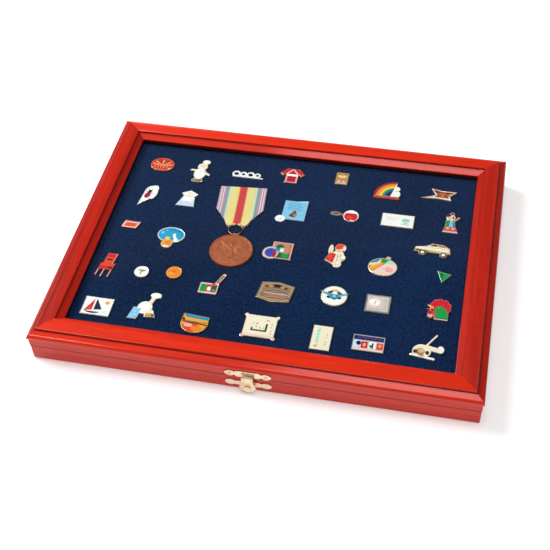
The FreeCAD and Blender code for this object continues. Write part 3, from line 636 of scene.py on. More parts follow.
# ---------------------------------------------------------------- meshes from surfaces
@dataclass
class Surface:
    """Points and four-sided faces of a surface, with values painted on its points."""

    points: Array
    faces: Array
    paint: dict[str, Array] = field(default_factory=dict)

    def with_(self, other: "Surface") -> "Surface":
        """This surface and another, side by side.

        Args:
            other: the surface to add.

        Returns:
            Both in one.
        """
        paint = {key: np.concatenate([value, other.paint[key]]) for key, value in self.paint.items()}
        return Surface(np.concatenate([self.points, other.points]),
                       np.concatenate([self.faces, other.faces + len(self.points)]), paint)

    def build(self, name: str, material: bpy.types.Material, sharp: float = 40.0) -> bpy.types.Object:
        """Put the surface into a mesh object, its points in metres.

        Args:
            name: the piece's name.
            material: its finish.
            sharp: edges bent more than this many degrees stay crisp.

        Returns:
            The object.
        """
        mesh = bpy.data.meshes.new(name)
        mesh.vertices.add(len(self.points))
        mesh.vertices.foreach_set("co", (self.points * MM).astype(np.float32).ravel())
        mesh.loops.add(self.faces.size)
        mesh.loops.foreach_set("vertex_index", self.faces.astype(np.int32).ravel())
        mesh.polygons.add(len(self.faces))
        mesh.polygons.foreach_set("loop_start", np.arange(0, self.faces.size, 4, dtype=np.int32))
        mesh.update(calc_edges=True)
        mesh.validate()
        mesh.polygons.foreach_set("use_smooth", np.ones(len(mesh.polygons), bool))
        mesh.set_sharp_from_angle(angle=math.radians(sharp))
        for key, value in self.paint.items():
            if value.ndim == 2:
                colours = np.column_stack([value, np.ones(len(value))]).astype(np.float32)
                mesh.attributes.new(key, "FLOAT_COLOR", "POINT").data.foreach_set("color", colours.ravel())
            else:
                mesh.attributes.new(key, "FLOAT", "POINT").data.foreach_set("value", value.astype(np.float32))
        mesh.materials.append(material)
        piece = bpy.data.objects.new(name, mesh)
        bpy.context.scene.collection.objects.link(piece)
        return piece


def boundary(faces: Array, count: int) -> Array:
    """Directed edges that only one face uses: those whose reverse is no face's edge.

    Args:
        faces: four-sided faces.
        count: number of points.

    Returns:
        Pairs of point numbers.
    """
    edges = np.concatenate([faces[:, [i, (i + 1) % 4]] for i in range(4)]).astype(np.int64)
    code = edges[:, 0] * count + edges[:, 1]
    return edges[~np.isin(edges[:, 1] * count + edges[:, 0], code)]


def plate(outline: Shape, reach: Sequence[float], step: float, top: Callable[[Array, Array], Array],
          bottom: float, closed: bool = True) -> Surface:
    """Plate over a grid: height is a function of x and y, its rim lies on the outline, walls go down.

    The grid's squares whose middles lie inside are kept. Rim points slide along the outline's slope until
    their distance to it is nil.

    Args:
        outline: plan shape.
        reach: least x, greatest x, least y and greatest y to look in.
        step: grid spacing.
        top: height at a point.
        bottom: level of the underside.
        closed: add the underside.

    Returns:
        The plate.
    """
    x0, x1, y0, y1 = reach
    xs = np.arange(x0 - 2 * step, x1 + 2 * step, step)
    ys = np.arange(y0 - 2 * step, y1 + 2 * step, step)
    gx, gy = np.meshgrid(xs, ys)
    keep = outline(gx[:-1, :-1] + step / 2, gy[:-1, :-1] + step / 2) < 0
    number = np.arange(gx.size).reshape(gx.shape)
    corners = (number[:-1, :-1], number[:-1, 1:], number[1:, 1:], number[1:, :-1])
    faces = np.stack([c[keep] for c in corners], axis=1)
    used, faces = np.unique(faces, return_inverse=True)
    faces = faces.reshape(-1, 4)
    x, y = gx.ravel()[used], gy.ravel()[used]
    rim = np.unique(boundary(faces, len(used)))
    rx, ry, tiny = x[rim], y[rim], 1e-3
    for _ in range(3):
        d = outline(rx, ry)
        sx = (outline(rx + tiny, ry) - outline(rx - tiny, ry)) / (2 * tiny)
        sy = (outline(rx, ry + tiny) - outline(rx, ry - tiny)) / (2 * tiny)
        slope = np.maximum(sx * sx + sy * sy, 0.2)
        rx, ry = rx - d * sx / slope, ry - d * sy / slope
    x[rim], y[rim] = rx, ry
    upper = np.column_stack([x, y, top(x, y)])
    lower = np.column_stack([x, y, np.full(len(x), bottom)])
    edges = boundary(faces, len(x))
    wall = np.column_stack([edges[:, 0], edges[:, 0] + len(x), edges[:, 1] + len(x), edges[:, 1]])
    if closed:
        return Surface(np.concatenate([upper, lower]),
                       np.concatenate([faces, wall, faces[:, ::-1] + len(x)]))
    points, kept = np.concatenate([upper, lower]), np.concatenate([faces, wall])
    used, kept = np.unique(kept, return_inverse=True)
    return Surface(points[used], kept.reshape(-1, 4))


def tube(path: Array, radius: Array, sides: int = 16) -> Surface:
    """Round tube: a circle carried along a path, square to its slope, with its ends drawn to points.

    Args:
        path: points of the middle line.
        radius: radius at each.
        sides: points round the circle.

    Returns:
        The tube.
    """
    slope = np.gradient(path, axis=0)
    slope /= np.linalg.norm(slope, axis=1, keepdims=True)
    aside = np.cross(slope, np.where(np.abs(slope[:, [2]]) > 0.9, [[1.0, 0, 0]], [[0, 0, 1.0]]))
    aside /= np.linalg.norm(aside, axis=1, keepdims=True)
    over = np.cross(slope, aside)
    turn = np.linspace(0, 2 * np.pi, sides, endpoint=False)[None, :, None]
    ends = np.concatenate([[0.0], radius, [0.0]])[:, None, None]
    path, aside, over = (np.concatenate([a[:1], a, a[-1:]]) for a in (path, aside, over))
    rings = path[:, None] + ends * (np.cos(turn) * aside[:, None] + np.sin(turn) * over[:, None])
    return lattice(rings, wrap=True)


def lattice(rings: Array, wrap: bool = False) -> Surface:
    """Faces over a grid of points: each joins two neighbours on one row to the two on the next.

    Args:
        rings: rows by columns by three.
        wrap: join the last column to the first.

    Returns:
        The surface.
    """
    rows, columns = rings.shape[:2]
    number = np.arange(rows * columns).reshape(rows, columns)
    if wrap:
        number = np.concatenate([number, number[:, :1]], axis=1)
    faces = np.stack([number[:-1, :-1], number[:-1, 1:], number[1:, 1:], number[1:, :-1]], axis=2)
    return Surface(rings.reshape(-1, 3), faces.reshape(-1, 4))


# ---------------------------------------------------------------- lapel pins
class Enamel(Enum):
    """Colours of enamel and plating, as sRGB codes."""

    GOLD = "E9CFA2"
    PALE_GOLD = "F3E4C4"
    SILVER = "D2CCC8"
    COPPER = "C98A6A"
    BRONZE = "9C7452"
    DARK_BRONZE = "5A3C2A"
    WHITE = "FBFAF6"
    CREAM = "F6EBD0"
    SAND = "DDBF8C"
    TAN = "BE8E56"
    BROWN = "7A4A32"
    UMBER = "3C241C"
    GREY = "8A8074"
    PINK = "F2AFA6"
    BLUSH = "F7D3C8"
    RED = "D3222E"
    CRIMSON = "B31C3A"
    SCARLET = "E8472C"
    ORANGE = "F0862E"
    AMBER = "F2A63A"
    YELLOW = "F6D640"
    LEAF = "1E9A46"
    BOTTLE = "1C5C40"
    MINT = "A8E2C8"
    TEAL = "1E90A8"
    CYAN = "2AA2D2"
    SKY = "86C8EE"
    ICE = "CFE2F4"
    BLUE = "2C4CB4"
    VIOLET = "5A4AA0"
    NAVY = "14204E"
    BLACK = "161416"
    BRICK = "B8341E"
    PEACH = "F2A070"


E = Enamel


@dataclass(frozen=True)
class Cell:
    """One filled area of a pin."""

    shape: Shape
    colour: Enamel


@dataclass(frozen=True)
class Pin:
    """Design of one lapel pin, in millimetres about its own middle."""

    name: str
    node: str
    outline: Shape
    ground: Enamel
    cells: tuple[Cell, ...] = ()
    plating: Enamel = E.GOLD
    which: int = 0
    rim: float = 0.55
    post: tuple[float, float] = (0.0, 0.0)


def cells(*areas: tuple) -> tuple[Cell, ...]:
    """Cells from tuples of a colour and the shapes it fills."""
    return tuple(Cell(either(*shapes), colour) for colour, *shapes in areas)


def first_row() -> list[Pin]:
    """Pins nearest the hinges."""
    fan = either(*(bar(0, -1.6, 8.4 * math.cos(a), 5.6 * math.sin(a) - 0.6, 0.6,
        1.7) for a in np.radians([8, 42, 90, 138, 172])))
    rings = either(*(oval(x, 0, r) for x, r in ((-10.4, 3.8), (-4, 3.3), (2.4, 3.8), (8.6, 3.1))),
        oblong(0.3, -3.2, 27.6, 1.4))
    rings = less(rings, *(oval(x, 0.2, r) for x, r in ((-10.4, 2), (-4, 1.5), (2.4, 2), (8.6, 1.3))))
    shirt = poly((-5.8, -9.4), (5.8, -9.4), (5.8, 2.2), (8, -0.6), (11.2, 2.6), (5.6, 9.2), (-5.6, 9.2),
        (-11.2, 2.6), (-8, -0.6), (-5.8, 2.2))
    cook = either(oval(2.6, 12.2, 3.9, 2.9), poly((1, 12), (-1.5, 6), (5, 6), (4.4, 12)),
        oval(0.5, 6, 4.8, 4.6), oval(0, -3.2, 5.6, 7.6), bar(-8.2, 0.6, 0, 0.6, 2.6),
        bar(0, 1.5, 8.2, -3.6, 2.6), oval(-0.4, -12, 5.4, 2.4))
    centre = (7.2, -9.4)
    bow_line = poly((-15.2, -6.4), (-3, -1.5), (-7, 6.6), (2, 4.6), (15.4, 4.8), (9.6, -1.6), (11.2, -6.8),
        (0, -5.6))
    return [
        Pin("red_oval_pin", "oval_pins", oval(0, 0, 11, 8.6), E.SCARLET, cells(
            (E.BRICK, oval(0, 0, 9.4, 7)), (E.RED, oval(1.5, -2.4, 7.6, 4)), (E.PEACH, fan),
            (E.PEACH, row(5, lambda i: bar(-5.6 + 2.4 * i, -4.6, -6.6 + 2.9 * i, -1.6, 0.7))),
            (E.PINK, oval(7.4, -4.6, 1.6, 1, 25)), (E.COPPER, bar(-3, -6.4, 2.6, -6.6, 0.8))), E.COPPER),
        Pin("cook_pin", "cook_pins", cook, E.WHITE, cells(
            (E.WHITE, oval(2.6, 12.3, 3.3, 2.3)), (E.CREAM, oval(0.5, 6, 4.2, 4)),
            (E.SAND, bar(0.9, 9.6, 4.4, 9.8, 0.5)), (E.BROWN, oval(-0.7, 6.6, 0.5), oval(1.9, 6.8, 0.5)),
            (E.PINK, oval(0.7, 5.2, 0.8, 0.5)), (E.WHITE, oval(0, -3.4, 4.6, 6.4)),
            (E.SAND, oval(0, -0.4, 0.5), oval(0, -3, 0.5)), (E.ICE, bar(2.2, 0.6, 7.4, -3, 1.6)),
            (E.WHITE, oval(-8.2, 0.6, 0.9)), (E.GREY, oval(-0.4, -12.2, 4.8, 1.7)),
            (E.BROWN, oval(2.4, -12.2, 1.6, 1.2)), (E.BROWN, oval(5, -7.6, 0.9, 1.6, 30)))),
        Pin("ring_chain_pin_enamel", "ring_chain_pin", rings, E.WHITE, (), E.WHITE, rim=0.2,
            post=(0, -3.6)),
        Pin("shirt_pin_enamel", "shirt_pin", shirt, E.RED, cells(
            (E.CRIMSON, oblong(0, 6.6, 6, 4.4)), (E.BLUSH, twin(bar(5, 2, 0.6, 7.6, 1.1))),
            (E.WHITE, oblong(0, 0.6, 10.4, 2.6)),
            (E.PINK, less(oblong(0, -4.8, 10.8, 8.6), oblong(0, -4.2, 7.6, 7.6))),
            (E.CRIMSON, oblong(0, -4.4, 7.4, 6.8)), (E.PINK, twin(bar(9.8, 2.2, 7.6, 0.4, 0.7)))),
            E.COPPER),
        Pin("owl_plaque_pin", "small_pins", oblong(0, 0, 11.4, 15.2, 0, 1), E.TAN, cells(
            (E.COPPER, oblong(0, 0.2, 9.4, 13, 0, 1)), (E.TAN, oblong(0, -3.4, 8.2, 5, 0, 1.4)),
            (E.YELLOW, oval(0, 2.8, 3.8, 2)), (E.CREAM, oval(0, 2.6, 2.6, 1)),
            (E.UMBER, oval(-0.2, 3.4, 1, 0.6), twin(bar(3.4, 5.6, 1.6, 4.8, 0.7))),
            (E.PALE_GOLD, oval(-2.2, -4, 1.3, 0.9), oval(2, -4, 1.3, 0.9)),
            (E.BLUSH, bar(-4.2, -6.2, 4, -6.2, 0.8))), E.SAND),
        Pin("rainbow_pin_enamel", "rainbow_pin", either(both(oval(*centre, 19.2),
            oblong(-2, 0.2, 18.8, 19.6)), oblong(-0.4, -10.4, 22.6, 3), oval(8, 1.2, 2.6, 3),
            oval(8.8, -5.2, 2.6, 4.2)), E.CRIMSON, cells((E.CRIMSON, oval(*centre, 18.6)),
            (E.ORANGE, oval(*centre, 16.9)), (E.AMBER, oval(*centre, 15.2)),
            (E.YELLOW, oval(*centre, 13.6)), (E.LEAF, oval(*centre, 11.6)), (E.BLUE, oval(*centre, 9.6)),
            (E.NAVY, oval(*centre, 8)), (E.WHITE, poly((2.6, -8.6), (5.2, 1), (7, 8.8), (7.6, 8.6),
            (9.4, -8.6)), oval(7.6, 1.2, 2.6, 2.8), oval(8.4, -5.2, 2.6, 3.8)),
            (E.COPPER, oblong(-0.6, -9.2, 22, 1)), (E.RED, oblong(-0.4, -10.6, 21.6, 1.8))), E.COPPER,
            rim=0.4),
        Pin("bow_pin_enamel", "bow_pin", bow_line, E.BLUSH, cells(
            (E.BROWN, poly((-5.4, 5.2), (2.4, 3.2), (13, 3.6), (8, -2), (8.4, -4.4), (-3.6, -3.6),
            (-1.4, -1))), (E.UMBER, bar(-3.6, 3.2, 3, 2.2, 1.2), bar(3.4, 2, 9.6, 2.6, 1)),
            (E.SCARLET, bar(-1, 0.6, 6.4, -0.2, 1.1), bar(0, -2.4, 6.8, -3, 1)),
            (E.AMBER, bar(0.6, 1.5, 5.4, 1, 0.5), bar(10.4, 2.2, 7.4, -0.6, 0.8), oval(3, -1.6, 0.8)),
            (E.PINK, bar(-12, -5, -5.6, -3.4, 1), bar(-1, -5, 8.6, -5.6, 0.5)),
            (E.WHITE, bar(-6, 5, -3, -0.8, 0.8), bar(1, -4.8, 9.4, -5.2, 0.9))), E.PALE_GOLD, rim=0.35),
    ]


def second_row() -> list[Pin]:
    """Second row from the hinges."""
    leaf = either(oval(1.6, 3.4, 6.2, 8.4), poly((-6.4, -13.4), (-4.5, 3), (1.6, -5), (7.2, -0.5)),
        oval(3.4, 8.4, 4.2, 4.2))
    cottage = either(poly((-9.4, -9.6), (7.4, -9.6), (5.6, 2.4), (-5.2, 2.4)), oval(0, 3.6, 5.2, 4.4),
        poly((-7.4, 6.2), (0, 10.4), (8, 5.8), (4.6, 2.6), (-4.6, 2.6)))
    juggler = either(oval(-0.6, 6.6, 4, 4.2), oval(0.4, 11, 2.2, 1.8),
        poly((-4.4, 3.4), (3.2, 3.4), (4.2, -5.2), (-4.8, -5.2)), bar(1.5, 1.5, 6, 6.8, 2.2), poly((-6.6,
        -11.6), (6.8, -11.6), (4.4, -4.4), (-4.8, -4.4)))
    return [
        Pin("ladybird_leaf_pin", "leaf_pin", leaf, E.WHITE, cells(
            (E.CRIMSON, oval(-0.6, -0.6, 2.5, 3.7, -14)), (E.UMBER, oval(0.5, 4.2, 1.7, 2.2, -14)),
            (E.UMBER, bar(-3.6, 5, -0.6, 2.6, 0.5), bar(3.9, 2.2, 1.2, 2.2, 0.5),
            bar(-0.6, 5.6, -1.6, 8, 0.45), bar(1.6, 5.6, 2.4, 7.4, 0.45)),
            (E.UMBER, bar(-0.4, 2.4, -1.2, -3.6, 0.35), oval(-1.9, 0.2, 0.5), oval(0.6, -0.9, 0.5))),
            E.SILVER, rim=0.4),
        Pin("cottage_pin", "house_pin", cottage, E.ICE, cells(
            (E.WHITE, oblong(0, -0.6, 9.6, 6.4, 0, 1.4)),
            (E.ICE, poly((-9, -9.2), (7, -9.2), (6, -4), (-7, -4))), (E.SKY, bar(-6.8, -6.4, -2, -6.6, 0.3),
            bar(0.6, -7.4, 5, -7.2, 0.3), bar(-2, -4.8, 2, -5, 0.3)),
            (E.WHITE, poly((-6.8, 6), (0, 9.8), (7.4, 5.6), (4.4, 3.4), (-4.4, 3.4))),
            (E.CREAM, oval(-0.2, 8, 2.4, 1.6)), (E.BLUSH, oval(0, 3.2, 3.2, 1)),
            (E.SAND, bar(-3.8, 6.2, 4, 6, 0.35))), E.SILVER, rim=0.4),
        Pin("booklet_pin_enamel", "booklet_pin", either(oblong(1, 0, 20.4, 23),
            poly((-2, 11), (10.8, 13.2), (11.2, 10)), oval(-9.6, -11, 4.6, 4.2)), E.SKY, cells((E.ICE,
            poly((-2, 11.2), (10.6, 12.9), (10.8, 11.2))),
            (E.TEAL, row(5, lambda i: bar(-5.4, 8.4 - 1.8 * i, 7.6 - i % 2 * 1.8, 8 - 1.8 * i, 0.5))),
            (E.BROWN, oval(1, -5.2, 2.6, 3), oval(1.4, -1.6, 1.5, 1.6), oval(-1.4, -6.2, 1.4, 1.7)),
            (E.COPPER, oval(2, -5.6, 1.2, 1.6)), (E.UMBER, oval(0.6, -7.4, 1.6, 0.6)),
            (E.WHITE, oval(-9.6, -11, 4.1, 3.7)), (E.ICE, oval(-9.2, -11.6, 1.6, 1.2))), E.SILVER,
            rim=0.35),
        Pin("pan_pin_enamel", "pan_pin", either(oval(5.4, 0, 6.8, 7), oval(-7.8, 1.2, 4.8, 2.4),
            bar(-5, 1, 2, 0.4, 2)), E.BROWN, cells((E.GREY, oval(-7.8, 1.2, 4.2, 1.8)),
            (E.DARK_BRONZE, oval(-7.2, 1, 2.6, 0.7)), (E.WHITE, oval(5.4, 0, 6.4, 6.6)), (E.RED,
            both(oval(5.4, -0.8, 5.7, 5.6), less(oblong(5.4, -2, 14, 10), oval(1, 5.2, 3, 2.4),
            oval(9.8, 5.2, 3, 2.4)))), (E.SCARLET, oval(4.6, -2.2, 2.6, 1.4)),
            (E.WHITE, oval(6.4, -5.4, 1.4, 0.5))), E.BLUSH, rim=0.35, post=(5.4, 0)),
        Pin("white_card_pin", "card_pins", oblong(0, 0, 28, 15.6), E.WHITE, cells(
            (E.BLUSH, row(3, lambda i: bar(-9.6, 3 - 1.3 * i, 0.4 - i, 2.6 - 1.3 * i, 0.5))),
            (E.MINT, oval(6.6, 0.6, 3.4, 2.4)), (E.GREY, bar(4.2, 2.6, 10, 2, 0.4),
            bar(3.2, -3.6, 9.4, -4.2, 0.5), bar(4.4, 0.2, 8.8, 1.2, 0.4), bar(6.2, -2.4, 10.4, -2.6, 0.4)),
            (E.MINT, oval(5.6, -3.4, 2.2, 1))), E.SILVER, rim=0.7),
        Pin("juggler_pin_enamel", "juggler_pin", juggler, E.SKY, cells(
            (E.BLUSH, oval(-0.6, 6.4, 3.4, 3.6)), (E.PINK, oval(-1.4, 5.4, 1.6, 1.4)),
            (E.UMBER, oval(-2.6, 8.4, 2.2, 1.4, 30), oval(1.4, 6.4, 0.6, 1.8)),
            (E.CRIMSON, oval(0.4, 10.8, 1.7, 1.4)),
            (E.LEAF, poly((-4, 3), (-0.8, 3), (-1.4, -4.8), (-4.4, -4.8))),
            (E.TEAL, poly((1.2, 3), (3, 3), (3.9, -4.8), (1.8, -4.8))), (E.TAN, bar(2, 2, 5.8, 6.4, 1.5)),
            (E.AMBER, oval(6, 6.8, 1)),
            (E.SCARLET, poly((-6, -9.8), (6.2, -9.8), (4.4, -4.8), (-4.6, -4.8))),
            (E.PINK, oval(-2.4, -6.6, 1.5, 1.2), oval(2.2, -6.8, 1.5, 1.2)),
            (E.SILVER, oblong(0.2, -10.9, 12.6, 1))), E.GOLD, rim=0.3),
    ]


def third_row() -> list[Pin]:
    """Middle row."""
    bear = either(oval(3, 7.4, 4.8, 5), oval(2, -2.6, 5.6, 7.6), oval(-4.6, 4.6, 2.2, 6),
        poly((-8.4, -7.6), (-0.6, -11.4), (1, 0.8), (-5, 1.8)), oval(2.6, -10.6, 3.8, 4),
        oval(6.4, -3.2, 2.4, 3.2))
    car = either(poly((-15, -3.8), (-14.4, 1.4), (-5, 3.4), (-1, 6.6), (8.6, 6.4), (14.2, 2.6), (15, -3.8)),
        oval(-8, -4.4, 3.2, 3), oval(9.2, -4.8, 3.2, 3))
    egg = oval(0, -1, 12, 9.8)
    return [
        Pin("red_bar_pin", "bar_pins", poly((-8, -4.2), (5.6, -4.4), (8.2, 4), (-6.2, 4.4)), E.BLUSH, cells(
            (E.SCARLET, poly((-5.8, -2.6), (4.2, -2.8), (5.8, 1.6), (-4.6, 1.8))),
            (E.ORANGE, row(4, lambda i: bar(-3.8 + 2.6 * i, -1.2, -3.4 + 2.6 * i, 0.4, 0.7))),
            (E.CRIMSON, bar(-5.4, 3.4, 6.4, 3.2, 0.7))), E.COPPER, rim=0.45),
        Pin("lagoon_pin_enamel", "lagoon_pin", either(oval(0, 3, 12, 9), oval(-1.4, -7.2, 5, 5)), E.ICE,
            cells((E.CYAN, oval(0, 3, 10.9, 7.9)), (E.TEAL, oval(1, 5, 8.6, 4.6)),
            (E.CYAN, oval(0.6, 3.6, 7.8, 4)),
            (E.SKY, oval(-7.6, 4.4, 1.2, 1.7, -30), oval(-4.6, 7.4, 1, 0.6)),
            (E.WHITE, oval(3.4, 1, 1.2, 3.4, 30), oval(5.2, -2.6, 2, 2.2), oval(3, 3.2, 1, 1.6, 10)),
            (E.AMBER, oval(-1.4, -6.6, 4.6, 4.7)), (E.CREAM, oval(-1.6, -10.6, 3, 1.1)),
            (E.YELLOW, oval(-2, -1.6, 2, 2)), (E.ORANGE, oval(-0.6, -6.2, 2.6, 2.6)),
            (E.LEAF, oval(0.9, -1.8, 0.9, 0.5))), E.PALE_GOLD, rim=0.4),
        Pin("tile_pin_enamel", "tile_pin", either(oblong(3.2, 0.6, 17.4, 19), oval(-5.6, -3, 7, 7)), E.PINK,
            cells((E.COPPER, oblong(3.4, 0.8, 14.8, 16.6)), (E.BOTTLE, oblong(4.4, -5, 11.4, 5.6)),
            (E.LEAF, oblong(6.6, -4.6, 5.6, 4.6)),
            (E.CRIMSON, row(3, lambda i: bar(9.4, 7.6 - 4 * i, 9.4, 5.4 - 4 * i, 0.6))),
            (E.SILVER, oval(-5.6, -3, 6.4)), (E.VIOLET, oval(-5.5, -3, 5)),
            (E.BLUE, oval(-7, -2.6, 2.6, 3.6)), (E.CRIMSON, oval(-2.4, -4.6, 1.6, 3.4)),
            (E.BOTTLE, oval(1.2, 4.2, 3.2, 3)), (E.TEAL, oval(-0.2, 1.4, 2.4, 2)),
            (E.MINT, oblong(3.2, 1.6, 3.4, 4.2)), (E.WHITE, oval(3.2, 0.6, 1.4, 1.4))), E.SILVER, rim=0.4),
        Pin("bear_pin_enamel", "bear_pin", bear, E.CREAM, cells(
            (E.SCARLET, both(oval(3, 7.4, 4.3, 4.5), poly((-3, 5), (9, 11.6), (9, 14), (-3, 14)))),
            (E.BLUSH, oval(3, 5.6, 3.2, 2.6)), (E.SCARLET, oval(2.2, 7.2, 3.2, 1.4, 20)),
            (E.UMBER, oval(5.4, 4, 0.7), bar(1, 4.2, 3.6, 3.2, 0.5), oval(-4.6, 10.2, 0.6)),
            (E.RED, poly((-7.8, -7.4), (-1.2, -10.4), (0.4, 0.2), (-4.8, 1.2))),
            (E.SCARLET, oval(-4, -3.6, 2.2, 3.2)), (E.PINK, bar(-7.4, -7.2, -1.4, -10, 0.7)),
            (E.UMBER, bar(1.6, -0.6, 2.2, -7.4, 0.45), bar(4.6, -5.8, 7.2, -5.2, 0.5)),
            (E.SAND, bar(-4.8, 1.6, -4.2, 7.4, 0.5), oval(4.2, -1.4, 1, 2), oval(2.8, -11.6, 1.6, 1.6)),
            (E.BLUSH, oval(2.6, -10.4, 2.6, 2.6)),
            (E.WHITE, oval(6.4, -2.6, 1.5, 2), oval(3, -9.6, 1.2, 1.4))), E.PALE_GOLD, rim=0.4),
        Pin("palette_pin_enamel", "palette_pin", either(egg, oval(3.4, 9.2, 2.4, 2)), E.BLUSH, cells(
            (E.TEAL, both(oval(0, -1, 11.2, 9), poly((-13, 1), (-5, 3.4), (-1, 9.6), (-12, 11)))),
            (E.CYAN, both(oval(0, -1, 10.4, 8.2), poly((-12, 3), (-6.4, 4.6), (-3.4, 8.8), (-11, 10)))),
            (E.LEAF, both(oval(0, -1, 11.2, 9), poly((-2.4, 4.8), (1.6, 2.8), (8.2, 3.6), (8.2, 9.6),
            (-1.6, 9.6)))),
            (E.MINT, both(oval(0, -1, 11.2, 9), poly((1.6, 3.2), (7.6, 2.6), (10, 6.6), (4, 6.8)))),
            (E.BROWN, bar(-8, -3.2, -0.6, 2.8, 5.4, 3.2), oval(-8.4, -3.4, 3.2)),
            (E.AMBER, bar(-8, -3.2, -0.8, 2.6, 4.4, 2.2), oval(-8.4, -3.4, 2.6)),
            (E.YELLOW, bar(-9.4, -1.4, -3, 2.8, 1.1)), (E.PINK, oval(5.4, -3.6, 3.4, 2.6)),
            (E.COPPER, oval(1, -2.4, 0.5), oval(3.4, -1.2, 0.4), oval(4.6, -5.2, 0.5)),
            (E.PINK, oval(3.4, 9.2, 1.9, 1.5))), E.CREAM, rim=0.7),
        Pin("car_pin_enamel", "car_pin", car, E.SAND, cells(
            (E.CREAM, bar(-12.6, 0.4, 12.6, -0.2, 2.6), bar(-4, 3.2, 11.6, 2.2, 1.6)),
            (E.WHITE, bar(-12, 1, -1, 1.2, 1), bar(3, 0.2, 13, -0.4, 1)),
            (E.BROWN, poly((-2.8, 3.6), (0, 5.6), (3.4, 5.6), (3.6, 3.4))),
            (E.UMBER, poly((-1.4, 3.8), (0.4, 5), (2.6, 5), (2.8, 3.8))),
            (E.BROWN, poly((4.6, 3.4), (4.6, 5.6), (8.4, 5.4), (11, 3.2))),
            (E.TAN, poly((5.4, 3.8), (5.4, 5.2), (8, 5), (9.4, 3.6))),
            (E.BROWN, bar(-13.2, -2, -3.4, -3, 1.6), oval(-11.6, -2.2, 1.8, 1.2)),
            (E.UMBER, oval(-8, -4.4, 2.6, 2.4), oval(9.2, -4.8, 2.6, 2.4)),
            (E.WHITE, oval(-8, -4.4, 1.5, 1.4), oval(9.2, -4.8, 1.5, 1.4)),
            (E.TAN, bar(-3.4, -3.2, 5, -3.6, 0.8))), E.SAND, rim=0.4),
        Pin("green_triangle_pin", "small_pins", poly((-5.6, 6.4), (6.4, 4), (-1.2, -6.2)), E.LEAF, cells(
            (E.BOTTLE, poly((-3.4, 4.2), (0.4, 3.6), (-1.2, -2.4))),
            (E.LEAF, poly((-0.8, 3.4), (3.4, 2.6), (-0.8, -3)))), E.MINT, which=1, rim=0.7),
    ]


